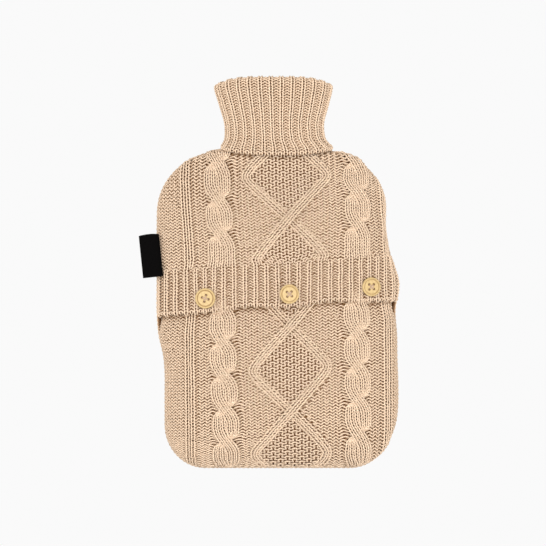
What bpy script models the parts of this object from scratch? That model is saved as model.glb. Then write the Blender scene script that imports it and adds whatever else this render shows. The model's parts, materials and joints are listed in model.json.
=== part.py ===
"""A knitted cover for a hot water bottle, lying on its back and keeping the bottle's form.

X runs across the cover, Y from its foot up to its collar, Z up from the surface it lies on.
Sizes are in millimetres here, and become metres where a mesh is made. The origin is on the
surface, under the middle of the whole outline, side label included.
"""

from math import cos, pi, radians, sin

import bmesh
import bpy
import numpy as np
from mathutils import Matrix, Vector

MM = 0.001

# ---------------------------------------------------------------- driving dimensions (mm)

CLOTH = 3.0           # thickness of the knitted cloth
GAP = 0.3             # clearance between pieces that touch
MIDDLE_X = 8.15       # the cover's middle line: the side label pushes the outline to the left

FOOT_Y = -180.0       # foot seam
SHOULDER_Y = 112.0    # where the shoulders meet the neck
NECK_Y = 118.0        # top edge of the neck, hidden in the collar
NECK_HALF_WIDTH = 44.0
NECK_X = -3.2         # neck and collar sit a little to the left of the middle line

SEAM_Z = 18.8         # height of the seam that runs round the cover
CROWN_Z = 46.0        # highest point of the front
SEAM_LIP = 1.6        # height of the upright strip beside the seam
ROUNDING = 110.0      # distance from the edge at which the front reaches its crown
BACK_ROUNDING = 50.0  # distance from the edge at which the back lies flat
FRONT_NECK_FULLNESS = 0.55
BACK_NECK_FULLNESS = 0.70

# The side edges, without their rounded ends: where each leaves the straight line.
SIDES = {
    "y":     (-150.0, -120.0, -75.0, -59.0, -37.0, -9.0, 13.0, 40.0, 62.0),
    "left":  (-103.7, -103.6, -105.3, -109.0, -110.9, -110.9, -110.9, -110.9, -110.6),
    "right": (108.5, 110.8, 110.0, 109.8, 108.3, 110.9, 104.6, 99.0, 99.4),
}
# Each rounded corner is a quarter of an ellipse, from start_y to end_y, taking in width.
FOOT_CORNER_LEFT = {"start_y": -140.0, "end_y": FOOT_Y, "width": 37.0}
FOOT_CORNER_RIGHT = {"start_y": -130.0, "end_y": FOOT_Y, "width": 42.0}
SHOULDER_LEFT = {"start_y": 55.0, "end_y": SHOULDER_Y,
                 "width": -SIDES["left"][-1] - NECK_HALF_WIDTH + NECK_X}
SHOULDER_RIGHT = {"start_y": 58.0, "end_y": SHOULDER_Y,
                  "width": SIDES["right"][-1] - NECK_HALF_WIDTH - NECK_X}

# The knitting chart. Rows rise a little to the right, about the lattice's middle line.
CHART_X = 11.5
ROW_SLOPE = 0.065
COURSE = 2.79           # height of one row of stitches
BAND_LOW_Y = -33.1      # lower edge of the flap's ribbed band, on the lattice's middle line
BAND_HIGH_Y = 7.8       # upper edge of the band
UNDERLAP_Y = -10.0      # hidden top edge of the lower front
UNDERLAP_GAP = 1.0      # room between the lower front and the flap over it
FLAP_CROSSING_Y = 53.6  # row in which the lattice's bands cross, on the flap
LOWER_CROSSING_Y = -48.8

CABLE_ROWS = 11.0       # rows from one crossing of a cable to the next
CABLE_FIRST_ROW = 3.7   # rows from the lattice's crossing down to a cable's crossing
CABLE_SWING = 5.7       # how far a cable's strand lies from its middle
STRAND_HALF_WIDTH = 7.0
DIAMOND_ROWS = 28.0     # rows from one crossing of the lattice to the next
BAND_HALF_WIDTH = 5.4

RIB_RELIEF = 1.2
STRIP_RELIEF = 1.6
CABLE_RELIEF = 2.2
CABLE_LIFT = 1.6
LATTICE_RELIEF = 2.2
MOSS_RELIEF = 0.8

# Where the chart's columns run: their middle lines at four heights, and the lattice's reach.
CHART = {
    "y":           (-150.0, -75.0, 20.0, 85.0),
    "left_strip":  (-79.5, -80.3, -81.0, -86.0),
    "left_cable":  (-46.5, -49.7, -51.1, -56.1),
    "lattice":     (12.5, 11.5, 11.5, 8.3),
    "right_cable": (74.0, 72.7, 72.7, 74.1),
    "right_strip": (101.5, 101.2, 99.5, 96.0),
    "reach":       (33.0, 33.8, 32.5, 37.0),
}
# The mesh's columns run along the chart's: the column on each line, from seam to seam.
CHART_LINES = ("left_strip", "left_cable", "lattice", "right_cable", "right_strip")
LINE_COLUMNS = (0, 9, 15, 27, 39, 45, 50)
CHART_LOW_Y = -135.0    # beyond these heights the columns draw together
CHART_HIGH_Y = 60.0

# The collar's outer face: half its width, and its height above and below the seam's level.
COLLAR = {
    "y":     (104.0, 112.5, 131.5, 155.0, 170.0, 180.0),
    "half":  (48.8, 48.3, 46.0, 50.5, 54.2, 54.8),
    "front": (20.2, 18.9, 17.0, 18.2, 19.0, 19.0),
    "back":  (17.2, 17.2, 16.6, 17.1, 17.3, 17.3),
}
COLLAR_TOP_Y = 179.0
COLLAR_COLUMNS = 52     # half ribs round the collar
COLLAR_SQUARENESS = 2.4
FOLD_GAP = 1.2          # space between the collar's two layers
TOP_DROP = 8.0          # the top fold is lower at the sides than in the middle
FOOT_SIDE_Y = 113.4
FOOT_FRONT_DROP = 7.2   # the outer layer's foot hangs lower in front

LABEL_CENTRE = (-116.3, 13.9)
LABEL_WIDTH = 19.0
LABEL_LENGTH = 40.0
LABEL_LAYER = 1.0
LABEL_TURN = 6.0        # degrees, its foot leaning towards the cover
LABEL_ROOT_Z = 32.2
LABEL_DROOP = 1.5
LABEL_TILT = 0.07       # its upper end lies lower, as the cover's side does there

BUTTONS = (
    # name, x, y, radius, turn of the holes in degrees
    ("left", -66.0, -24.5, 9.1, 30.0),
    ("centre", 10.9, -20.1, 8.9, 4.0),
    ("right", 85.0, -13.5, 8.7, 2.0),
)
BUTTON_THICKNESS = 3.3
HOLE_RADIUS = 0.95
HOLE_OFFSET = 2.05      # from the button's middle, along and across
THREAD_RADIUS = 0.55
THREAD_RISE = (0.1, 0.55)  # the second stitch lies over the first
BUTTON_SEAT = RIB_RELIEF + GAP

# ---------------------------------------------------------------- scene and materials


def clear_scene():
    for old in list(bpy.data.objects):
        bpy.data.objects.remove(old, do_unlink=True)


def new_collection(name):
    collection = bpy.data.collections.new(name)
    bpy.context.scene.collection.children.link(collection)
    return collection


def new_material(name, colour, roughness):
    material = bpy.data.materials.new(name)
    material.use_nodes = True
    shader = material.node_tree.nodes["Principled BSDF"]
    shader.inputs["Base Color"].default_value = (*colour, 1.0)
    shader.inputs["Roughness"].default_value = roughness
    shader.inputs["Metallic"].default_value = 0.0
    return material


# ---------------------------------------------------------------- curves


def through_points(at, heights, values):
    """A smooth line through a short table's points, read at the given heights."""
    heights = np.asarray(heights)
    values = np.asarray(values)
    slopes = np.gradient(values, heights)
    place = np.clip(at, heights[0], heights[-1])
    k = np.clip(np.searchsorted(heights, place) - 1, 0, len(heights) - 2)
    span = heights[k + 1] - heights[k]
    t = (place - heights[k]) / span
    start = (1 + 2 * t) * (1 - t) ** 2 * values[k] + t * (1 - t) ** 2 * span * slopes[k]
    end = t * t * (3 - 2 * t) * values[k + 1] - t * t * (1 - t) * span * slopes[k + 1]
    return start + end


def smooth_step(value, low, high):
    t = np.clip((value - low) / (high - low), 0.0, 1.0)
    return t * t * (3 - 2 * t)


def corner(y, shape):
    """How far a rounded corner takes the side in, at height y."""
    along = np.clip((y - shape["start_y"]) / (shape["end_y"] - shape["start_y"]), 0.0, 1.0)
    return shape["width"] * (1 - np.sqrt(1 - along ** 2))


def left_edge(y):
    side = through_points(y, SIDES["y"], SIDES["left"])
    return side + corner(y, FOOT_CORNER_LEFT) + corner(y, SHOULDER_LEFT)


def right_edge(y):
    side = through_points(y, SIDES["y"], SIDES["right"])
    return side - corner(y, FOOT_CORNER_RIGHT) - corner(y, SHOULDER_RIGHT)


# ---------------------------------------------------------------- the cover's body

FINE_COLUMNS = 120
CORNER_STEPS = 14
STRAIGHT_STEP = 2.8
SOFTENING_PASSES = 10


def body_heights():
    """Heights of the body's sections, closest together round the corners."""
    turn = np.linspace(pi / 2, 0.0, CORNER_STEPS)
    foot = FOOT_CORNER_RIGHT["start_y"] + (FOOT_Y - FOOT_CORNER_RIGHT["start_y"]) * np.sin(turn)
    low = SHOULDER_LEFT["start_y"]
    shoulder = low + (SHOULDER_Y - low) * np.sin(turn[::-1])
    straight = np.arange(foot[-1] + STRAIGHT_STEP, low - 1.0, STRAIGHT_STEP)
    neck = np.linspace(SHOULDER_Y, NECK_Y, 4)[1:]
    return np.concatenate([foot, straight, shoulder, neck])


def distance_from_edge(x, y):
    """Distance of each point from the outline, which runs on up past the neck."""
    sections = np.concatenate([body_heights(), [NECK_Y + ROUNDING]])
    left = np.stack([left_edge(sections), sections], axis=1)
    right = np.stack([right_edge(sections), sections], axis=1)
    line = np.concatenate([left[::-1], right])
    start = line[:-1]
    run = line[1:] - start
    points = np.stack([x.ravel(), y.ravel()], axis=1)[:, None, :]
    along = ((points - start) * run).sum(-1) / np.maximum((run ** 2).sum(-1), 1e-9)
    nearest = start + np.clip(along, 0.0, 1.0)[..., None] * run
    return np.sqrt(((points - nearest) ** 2).sum(-1)).min(axis=1).reshape(x.shape)


def soften(field):
    """Rounds the ridge lines where the distance from two edges is the same."""
    for _ in range(SOFTENING_PASSES):
        inner = field[1:-1, 1:-1]
        around = field[:-2, 1:-1] + field[2:, 1:-1] + field[1:-1, :-2] + field[1:-1, 2:]
        field[1:-1, 1:-1] = 0.5 * inner + 0.125 * around
    return field


def body_surface(is_front):
    """One face of the body: its sections' heights, and x and z evenly spaced along each."""
    heights = body_heights()
    across = np.sin(np.linspace(-pi / 2, pi / 2, FINE_COLUMNS + 1))
    middle = (left_edge(heights) + right_edge(heights)) / 2
    half = (right_edge(heights) - left_edge(heights)) / 2
    x = middle[:, None] + half[:, None] * across
    y = np.repeat(heights[:, None], FINE_COLUMNS + 1, axis=1)
    inside = soften(distance_from_edge(x, y))
    if is_front:
        closeness = 1 - np.clip(inside / ROUNDING, 0.0, 1.0)
        full = 1 + (FRONT_NECK_FULLNESS - 1) * smooth_step(y, 25.0, SHOULDER_Y)
        rise = (CROWN_Z - SEAM_Z - SEAM_LIP) * full * np.sqrt(1 - closeness ** 3)
        z = SEAM_Z + SEAM_LIP + rise
    else:
        closeness = 1 - np.clip(inside / BACK_ROUNDING, 0.0, 1.0)
        full = 1 + (BACK_NECK_FULLNESS - 1) * smooth_step(y, 70.0, SHOULDER_Y)
        z = (SEAM_Z - SEAM_LIP) * (1 - full * np.sqrt(1 - closeness ** 2))
    even = np.linspace(0.0, 1.0, FINE_COLUMNS + 1)
    for j in range(len(heights)):
        length = np.concatenate([[0.0], np.cumsum(np.hypot(np.diff(x[j]), np.diff(z[j])))])
        x[j] = np.interp(even * length[-1], length, x[j].copy())
        z[j] = np.interp(even * length[-1], length, z[j].copy())
    return heights, x, z


def read_surface(surface, across, y):
    """The surface's x and z at fractions of the way across it and at heights y."""
    heights, x, z = surface
    row = np.interp(y, heights, np.arange(len(heights)))
    j = np.clip(row.astype(int), 0, len(heights) - 2)
    column = across * FINE_COLUMNS
    i = np.clip(column.astype(int), 0, FINE_COLUMNS - 1)
    v = row - j
    u = column - i

    def blend(grid):
        low = grid[j, i] * (1 - u) + grid[j, i + 1] * u
        high = grid[j + 1, i] * (1 - u) + grid[j + 1, i + 1] * u
        return low * (1 - v) + high * v

    return blend(x), blend(z)


def plain_points(surface, heights, columns):
    """A grid of points with level rows, and equal steps across."""
    y, across = np.meshgrid(heights, np.linspace(0.0, 1.0, columns + 1), indexing="ij")
    x, z = read_surface(surface, across, y)
    return np.stack([x, y, z], axis=-1)


def chart_columns(surface, y):
    """How far across the surface each column of the chart lies, at height y."""
    level = np.clip(y, CHART_LOW_Y, CHART_HIGH_Y)
    even = np.linspace(0.0, 1.0, FINE_COLUMNS + 1)
    section, _ = read_surface(surface, even, np.full_like(even, level))
    lines = [np.interp(chart_line(name, level), section, even) for name in CHART_LINES]
    return np.interp(np.arange(LINE_COLUMNS[-1] + 1), LINE_COLUMNS, [0.0, *lines, 1.0])


def knitted_points(surface, heights):
    """A front panel's grid of points, along the rows and columns of its knitting."""
    across = np.array([chart_columns(surface, y) for y in heights])
    level = np.repeat(np.asarray(heights)[:, None], across.shape[1], axis=1)
    slope = ROW_SLOPE * smooth_step(level, FOOT_Y, -140.0) * smooth_step(-level, -105.0, -60.0)
    y = level.copy()
    for _ in range(3):
        x, z = read_surface(surface, across, y)
        y = level + slope * (x - CHART_X)
    return np.stack([x, y, z], axis=-1)


def outward_normals(points, closed=False):
    """Unit normals of a grid of points, rows up and columns to the right."""
    up = np.gradient(points, axis=0)
    right = np.gradient(points, axis=1)
    if closed:
        right[:, 0] = right[:, -1] = points[:, 1] - points[:, -2]
    normal = np.cross(right, up)
    return normal / np.linalg.norm(normal, axis=-1, keepdims=True)


def add_seam_strips(points, seam_z, has_foot):
    """Adds an upright strip that ends at the seam, down both sides and along the foot."""
    left = points[:, :1].copy()
    right = points[:, -1:].copy()
    left[..., 2] = right[..., 2] = seam_z
    points = np.concatenate([left, points, right], axis=1)
    if has_foot:
        foot = points[:1].copy()
        foot[..., 2] = seam_z
        points = np.concatenate([foot, points], axis=0)
    return points


# ---------------------------------------------------------------- raised knitting


def ridge(distance, half_width):
    return np.clip(1 - (distance / half_width) ** 2, 0.0, 1.0)


def chart_line(name, y):
    return through_points(y, CHART["y"], CHART[name])


def cable_relief(x, row, middle):
    """Two strands that change places at each crossing, the front one from upper left."""
    turns = (row - CABLE_FIRST_ROW) / CABLE_ROWS
    along = turns - np.round(turns)
    swing = np.clip(along * 4, -1.0, 1.0)
    front = ridge(x - middle - CABLE_SWING * swing, STRAND_HALF_WIDTH)
    back = ridge(x - middle + CABLE_SWING * swing, STRAND_HALF_WIDTH)
    lift = CABLE_LIFT * (1 - np.abs(swing))
    return np.maximum(front * (CABLE_RELIEF + lift), back * CABLE_RELIEF)


def lattice_relief(x, row, middle, reach):
    """Bands that cross in every repeat, with moss stitch raised a little between them."""
    repeat = row / (2 * DIAMOND_ROWS)
    zigzag = 1 - np.abs(4 * (repeat - 0.25 - np.floor(repeat - 0.25)) - 2)
    offset = reach * zigzag
    bands = np.maximum(ridge(x - middle - offset, BAND_HALF_WIDTH),
                       ridge(x - middle + offset, BAND_HALF_WIDTH))
    moss = smooth_step(np.abs(offset) - np.abs(x - middle), 0.0, BAND_HALF_WIDTH)
    return np.maximum(bands * LATTICE_RELIEF, moss * MOSS_RELIEF)


def pattern_relief(points, crossing_y):
    """Height of the strips, cables and lattice over the plain ground."""
    x = points[..., 0]
    y = points[..., 1]
    row = (crossing_y + ROW_SLOPE * (x - CHART_X) - y) / COURSE
    relief = lattice_relief(x, row, chart_line("lattice", y), chart_line("reach", y))
    for side in ("left", "right"):
        cable = cable_relief(x, row, chart_line(side + "_cable", y))
        strip = STRIP_RELIEF * ridge(x - chart_line(side + "_strip", y), STRAND_HALF_WIDTH)
        relief = np.maximum(relief, np.maximum(cable, strip))
    return relief


def rib_relief(points):
    """Every second column stands up as a rib."""
    relief = np.zeros(points.shape[:2])
    relief[:, 1::2] = RIB_RELIEF
    return relief


def calm_edges(relief):
    """Keeps the raised knitting off the seams."""
    relief[:, :1] = 0.0
    relief[:, -1:] = 0.0
    return relief


# ---------------------------------------------------------------- sheets of cloth


def cloth_object(name, points, thickness, material, collection):
    """A sheet of cloth through a grid of points, with its thickness on the inner side."""
    rows, columns = points.shape[:2]
    bpy.ops.mesh.primitive_grid_add(x_subdivisions=columns - 1, y_subdivisions=rows - 1)
    sheet = bpy.context.object
    sheet.name = name
    sheet.data.name = name
    for old in list(sheet.users_collection):
        old.objects.unlink(sheet)
    collection.objects.link(sheet)
    placed = points + np.array([MIDDLE_X, 0.0, 0.0])
    for vertex, place in zip(sheet.data.vertices, placed.reshape(-1, 3)):
        vertex.co = Vector(place) * MM
    mesh = bmesh.new()
    mesh.from_mesh(sheet.data)
    bmesh.ops.remove_doubles(mesh, verts=mesh.verts, dist=0.02 * MM)
    mesh.to_mesh(sheet.data)
    mesh.free()
    sheet.data.materials.append(material)
    sheet.data.shade_smooth()
    solid = sheet.modifiers.new("thickness", "SOLIDIFY")
    solid.thickness = thickness * MM
    solid.offset = -1.0
    return sheet


def make_back(collection, material):
    heights = np.concatenate([
        corner_heights(FOOT_CORNER_RIGHT, 5)[::-1],
        np.linspace(-112.0, 40.0, 8),
        corner_heights(SHOULDER_LEFT, 6),
        [SHOULDER_Y + 3.0, NECK_Y],
    ])
    points = plain_points(body_surface(False), heights, 20)
    points = add_seam_strips(points, SEAM_Z - GAP / 2, True)
    return cloth_object("back_panel", points[:, ::-1], CLOTH, material, collection)


def corner_heights(shape, steps):
    """Heights round a corner, from where it starts to where it ends."""
    turn = np.linspace(0.0, pi / 2, steps)
    return shape["start_y"] + (shape["end_y"] - shape["start_y"]) * np.sin(turn)


def lower_heights():
    return np.concatenate([
        corner_heights(FOOT_CORNER_RIGHT, 6)[::-1],
        np.linspace(-123.5, -39.0, 14),
        [BAND_LOW_Y, -26.0, UNDERLAP_Y],
    ])


def make_lower_front(surface, collection, material):
    points = knitted_points(surface, lower_heights())
    level = points[..., 1] - ROW_SLOPE * (points[..., 0] - CHART_X)
    under_flap = 1 - smooth_step(BAND_LOW_Y - level, 1.0, 18.0)
    shows = smooth_step(BAND_LOW_Y - level, 0.0, 5.0) * smooth_step(level, FOOT_Y, -160.0)
    inward = outward_normals(points)
    inward[:, 0, 2] = inward[:, -1, 2] = 0.0
    relief = calm_edges(pattern_relief(points, LOWER_CROSSING_Y) * shows)
    relief[0] = 0.0
    drop = (CLOTH + UNDERLAP_GAP) * under_flap
    points = points + inward * (relief - drop)[..., None]
    points = add_seam_strips(points, SEAM_Z + GAP / 2, True)
    return cloth_object("front_lower", points, CLOTH, material, collection)


def flap_points(surface):
    heights = np.concatenate([
        np.linspace(BAND_LOW_Y, BAND_HIGH_Y, 5),
        np.linspace(13.0, 49.0, 7),
        corner_heights(SHOULDER_LEFT, 8),
        [SHOULDER_Y + 3.0, NECK_Y],
    ])
    points = knitted_points(surface, heights)
    level = points[..., 1] - ROW_SLOPE * (points[..., 0] - CHART_X)
    in_band = 1 - smooth_step(level, BAND_HIGH_Y - 1.0, BAND_HIGH_Y + 5.0)
    below_collar = 1 - smooth_step(points[..., 1], 88.0, 102.0)
    pattern = pattern_relief(points, FLAP_CROSSING_Y) * below_collar
    relief = calm_edges(rib_relief(points) * in_band + pattern * (1 - in_band))
    return points + outward_normals(points) * relief[..., None]


def make_flap(surface, collection, material):
    points = add_seam_strips(flap_points(surface), SEAM_Z + GAP / 2, False)
    return cloth_object("front_flap", points, CLOTH, material, collection)


# ---------------------------------------------------------------- collar


def around_collar():
    """Cosine and sine round the collar's section, in equal steps of its girth."""
    turn = np.linspace(0.0, 2 * pi, 721)
    across = np.sign(np.cos(turn)) * np.abs(np.cos(turn)) ** (2 / COLLAR_SQUARENESS)
    up = np.sign(np.sin(turn)) * np.abs(np.sin(turn)) ** (2 / COLLAR_SQUARENESS)
    half = COLLAR["half"][2]
    high = COLLAR["back"][2]
    steps = np.hypot(np.diff(across * half), np.diff(up * high))
    length = np.concatenate([[0.0], np.cumsum(steps)])
    even = np.linspace(0.0, length[-1], COLLAR_COLUMNS + 1)
    return np.interp(even, length, across), np.interp(even, length, up)


def make_collar(collection, material):
    across, up = around_collar()
    fold = CLOTH + FOLD_GAP / 2
    foot = FOOT_SIDE_Y - FOOT_FRONT_DROP * np.maximum(up, 0) ** 2
    top = COLLAR_TOP_Y - TOP_DROP * np.abs(across) ** 4 - fold
    rows = []
    for step in np.linspace(0.0, 1.0, 6):
        rows.append((foot + (top - foot) * step, 0.0))
    for turn in np.linspace(0.0, pi, 6)[1:]:
        rows.append((top + fold * sin(turn), fold * (1 - cos(turn))))
    inner_foot = NECK_Y + 2 * GAP
    for step in np.linspace(1.0, 0.0, 5)[1:]:
        rows.append((inner_foot + (top - inner_foot) * step, 2 * fold))
    points = []
    for y, inset in rows:
        half = through_points(y, COLLAR["y"], COLLAR["half"]) - inset
        front = through_points(y, COLLAR["y"], COLLAR["front"]) - inset
        back = through_points(y, COLLAR["y"], COLLAR["back"]) - inset
        z = SEAM_Z + np.where(up > 0, front, back) * up
        points.append(np.stack([NECK_X + half * across, y, z], axis=1))
    points = np.array(points)[:, ::-1]
    relief = rib_relief(points)
    points = points + outward_normals(points, closed=True) * relief[..., None]
    return cloth_object("collar", points, CLOTH, material, collection)


# ---------------------------------------------------------------- label, buttons and thread


def make_label(collection, material):
    """A short tab, folded at its outer end, with both ends at the side seam."""
    layer_gap = 0.6
    fold = LABEL_LAYER + layer_gap / 2
    reach = LABEL_WIDTH - fold
    path = [(0.0, fold), (-reach / 2, fold), (-reach, fold)]
    for turn in np.linspace(0.0, pi, 6)[1:-1]:
        path.append((-reach - fold * sin(turn), fold * cos(turn)))
    path += [(-reach, -fold), (-reach / 2, -fold), (0.0, -fold)]
    points = []
    for out, high in path:
        z = high + LABEL_DROOP * out / LABEL_WIDTH
        points.append([(out + LABEL_WIDTH / 2, along, z - LABEL_TILT * along) for along in
                       np.linspace(-LABEL_LENGTH / 2, LABEL_LENGTH / 2, 4)])
    turn = radians(LABEL_TURN)
    points = np.array(points)
    x = points[..., 0] * cos(turn) - points[..., 1] * sin(turn) + LABEL_CENTRE[0]
    y = points[..., 0] * sin(turn) + points[..., 1] * cos(turn) + LABEL_CENTRE[1]
    placed = np.stack([x, y, points[..., 2] + LABEL_ROOT_Z], axis=-1)
    return cloth_object("label_tab", placed, LABEL_LAYER, material, collection)


def button_seat(surface, x, y):
    """Place and turning of something that rests on the flap at x, y."""
    points = plain_points(surface, np.arange(y - 6.0, y + 6.1, 1.0), 240)
    normals = outward_normals(points)
    nearest = np.argmin(np.hypot(points[..., 0] - x, points[..., 1] - y))
    j, i = np.unravel_index(nearest, points.shape[:2])
    normal = Vector(normals[j, i])
    place = (Vector(points[j, i]) + normal * BUTTON_SEAT + Vector((MIDDLE_X, 0, 0))) * MM
    return Matrix.Translation(place) @ normal.to_track_quat("Z", "Y").to_matrix().to_4x4()


def turned_object(name, profile, steps, material, collection):
    """A profile of (radius, height) pairs, turned about Z."""
    mesh = bpy.data.meshes.new(name)
    points = [(radius * MM, 0.0, height * MM) for radius, height in profile]
    mesh.from_pydata(points, [(i, i + 1) for i in range(len(points) - 1)], [])
    turned = bpy.data.objects.new(name, mesh)
    collection.objects.link(turned)
    mesh.materials.append(material)
    screw = turned.modifiers.new("turn", "SCREW")
    screw.steps = screw.render_steps = steps
    screw.use_merge_vertices = True
    screw.merge_threshold = 0.00001
    return turned


def hole_cutter(name, place, cutters):
    """Four round holes, as one cutter."""
    mesh = bmesh.new()
    for x in (-HOLE_OFFSET, HOLE_OFFSET):
        for y in (-HOLE_OFFSET, HOLE_OFFSET):
            at = Matrix.Translation(Vector((x, y, BUTTON_THICKNESS / 2)) * MM)
            bmesh.ops.create_cone(mesh, cap_ends=True, segments=8, radius1=HOLE_RADIUS * MM,
                                  radius2=HOLE_RADIUS * MM, depth=3 * BUTTON_THICKNESS * MM,
                                  matrix=at)
    data = bpy.data.meshes.new(name)
    mesh.to_mesh(data)
    mesh.free()
    cutter = bpy.data.objects.new(name, data)
    cutter.matrix_world = place
    cutter.display_type = "WIRE"
    cutter.hide_render = True
    cutters.objects.link(cutter)
    return cutter


def make_button(name, radius, place, collection, cutters, material):
    """A turned disc with a raised rim, a groove inside it and four holes."""
    top = BUTTON_THICKNESS
    profile = (
        (0.0, top - 1.0), (radius - 3.4, top - 0.7), (radius - 2.7, top - 0.9),
        (radius - 2.0, top - 0.1), (radius - 1.0, top), (radius, top - 1.0),
        (radius, 1.0), (radius - 1.2, 0.0), (0.0, 0.0),
    )
    button = turned_object("button_" + name, profile, 24, material, collection)
    button.matrix_world = place
    holes = button.modifiers.new("holes", "BOOLEAN")
    holes.operation = "DIFFERENCE"
    holes.object = hole_cutter("holes_" + name, place, cutters)
    return button


def thread_loop(name, turn, rise, collection):
    """One stitch: up through a hole, over the middle and down through the opposite one."""
    curve = bpy.data.curves.new(name, "CURVE")
    curve.dimensions = "3D"
    curve.bevel_depth = THREAD_RADIUS * MM
    curve.bevel_resolution = 1
    curve.use_fill_caps = True
    reach = HOLE_OFFSET * 2 ** 0.5
    top = BUTTON_THICKNESS - 1.0 + THREAD_RADIUS + GAP
    path = [(-reach, 0.3), (-reach, top - 0.5), (-reach + 0.6, top), (0.0, top + rise),
            (reach - 0.6, top), (reach, top - 0.5), (reach, 0.3)]
    spline = curve.splines.new("POLY")
    spline.points.add(len(path) - 1)
    for point, (out, high) in zip(spline.points, path):
        point.co = (out * cos(turn) * MM, out * sin(turn) * MM, high * MM, 1.0)
    loop = bpy.data.objects.new(name, curve)
    collection.objects.link(loop)
    return loop


def meshed(curve_object, name, collection):
    """The curve's tube as a closed mesh object, in the curve's place."""
    bpy.context.view_layer.update()
    evaluated = curve_object.evaluated_get(bpy.context.evaluated_depsgraph_get())
    data = bpy.data.meshes.new_from_object(evaluated)
    mesh = bmesh.new()
    mesh.from_mesh(data)
    bmesh.ops.remove_doubles(mesh, verts=mesh.verts, dist=0.001 * MM)
    mesh.to_mesh(data)
    mesh.free()
    solid = bpy.data.objects.new(name, data)
    collection.objects.link(solid)
    bpy.data.objects.remove(curve_object, do_unlink=True)
    return solid


def make_thread(name, place, collection, cutters, material):
    """Two stitches that cross in the button's middle, as one piece."""
    solids = []
    for k, target in enumerate((collection, cutters)):
        loop = thread_loop("stitch", radians(45 + 90 * k), THREAD_RISE[k], target)
        solids.append(meshed(loop, ("thread_", "stitch_")[k] + name, target))
        solids[k].matrix_world = place
    thread, other = solids
    thread.data.materials.append(material)
    other.display_type = "WIRE"
    other.hide_render = True
    join = thread.modifiers.new("cross", "BOOLEAN")
    join.operation = "UNION"
    join.object = other
    return thread


# ---------------------------------------------------------------- the whole cover


def main():
    clear_scene()
    parts = new_collection("hot_water_bottle_cover")
    cutters = new_collection("cutters")
    yarn = new_material("yarn", (0.76, 0.58, 0.40), 0.9)
    wood = new_material("wood", (0.83, 0.63, 0.33), 0.5)
    thread = new_material("thread", (0.74, 0.52, 0.38), 0.8)
    ribbon = new_material("ribbon", (0.012, 0.012, 0.015), 0.7)

    front = body_surface(True)
    make_back(parts, yarn)
    make_lower_front(front, parts, yarn)
    make_flap(front, parts, yarn)
    make_collar(parts, yarn)
    make_label(parts, ribbon)
    for name, x, y, radius, turn in BUTTONS:
        seat = button_seat(front, x, y) @ Matrix.Rotation(radians(turn), 4, "Z")
        make_button(name, radius, seat, parts, cutters, wood)
        make_thread(name, seat, parts, cutters, thread)


main()
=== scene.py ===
"""Dresses the hot water bottle cover: its cloth is knitted here loop by loop.

Each course of stitches is one yarn that runs across a panel and hooks through the course
below it. Sizes are in millimetres in the tables and become metres where a mesh is made.
"""

import json
from functools import partial
from itertools import pairwise
from math import cos, pi, radians, sin

import bmesh
import bpy
import numpy as np
from bpy.props import FloatProperty, FloatVectorProperty, IntProperty, PointerProperty
from bpy.types import Operator, Panel, PropertyGroup
from mathutils import Matrix, Vector

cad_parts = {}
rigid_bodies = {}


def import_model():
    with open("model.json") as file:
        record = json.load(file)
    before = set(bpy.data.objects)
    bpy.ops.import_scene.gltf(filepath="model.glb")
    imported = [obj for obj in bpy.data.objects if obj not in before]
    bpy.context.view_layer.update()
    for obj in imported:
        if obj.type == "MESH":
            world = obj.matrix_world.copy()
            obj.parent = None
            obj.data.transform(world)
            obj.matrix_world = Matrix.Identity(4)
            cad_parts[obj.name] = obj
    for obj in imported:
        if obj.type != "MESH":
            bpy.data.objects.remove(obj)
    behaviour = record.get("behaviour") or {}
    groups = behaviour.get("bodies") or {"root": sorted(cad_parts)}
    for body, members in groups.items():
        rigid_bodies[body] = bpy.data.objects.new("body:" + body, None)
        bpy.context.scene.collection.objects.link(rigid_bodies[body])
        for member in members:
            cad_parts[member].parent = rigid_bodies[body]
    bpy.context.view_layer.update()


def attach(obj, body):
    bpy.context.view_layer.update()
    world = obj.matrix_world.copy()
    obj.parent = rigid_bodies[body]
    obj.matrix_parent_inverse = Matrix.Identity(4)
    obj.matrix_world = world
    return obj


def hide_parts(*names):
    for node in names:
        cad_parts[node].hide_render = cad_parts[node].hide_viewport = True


for leftover in list(bpy.data.objects):
    bpy.data.objects.remove(leftover, do_unlink=True)
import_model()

bl_info = {
    "name": "Hot Water Bottle Cover",
    "version": (1, 0, 0),
    "blender": (4, 5, 0),
    "location": "View3D > Sidebar > Bottle Cover",
    "description": "Knits a cabled hot water bottle cover with its collar, buttons and label",
    "category": "Add Mesh",
}

MM = 0.001

# ---------------------------------------------------------------- the body's form (mm)

CLOTH = 3.0
MIDDLE_X = 8.15
FOOT_Y = -180.0
SHOULDER_Y = 112.0
NECK_Y = 118.0
NECK_HALF_WIDTH = 44.0
NECK_X = -3.2
SEAM_Z = 18.8
CROWN_Z = 46.0
SEAM_LIP = 1.6
ROUNDING = 110.0
BACK_ROUNDING = 50.0
FRONT_NECK_FULLNESS = 0.55  # both faces flatten towards the neck, from these heights
BACK_NECK_FULLNESS = 0.70
FRONT_FLATTENS_Y = 25.0
BACK_FLATTENS_Y = 70.0

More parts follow.
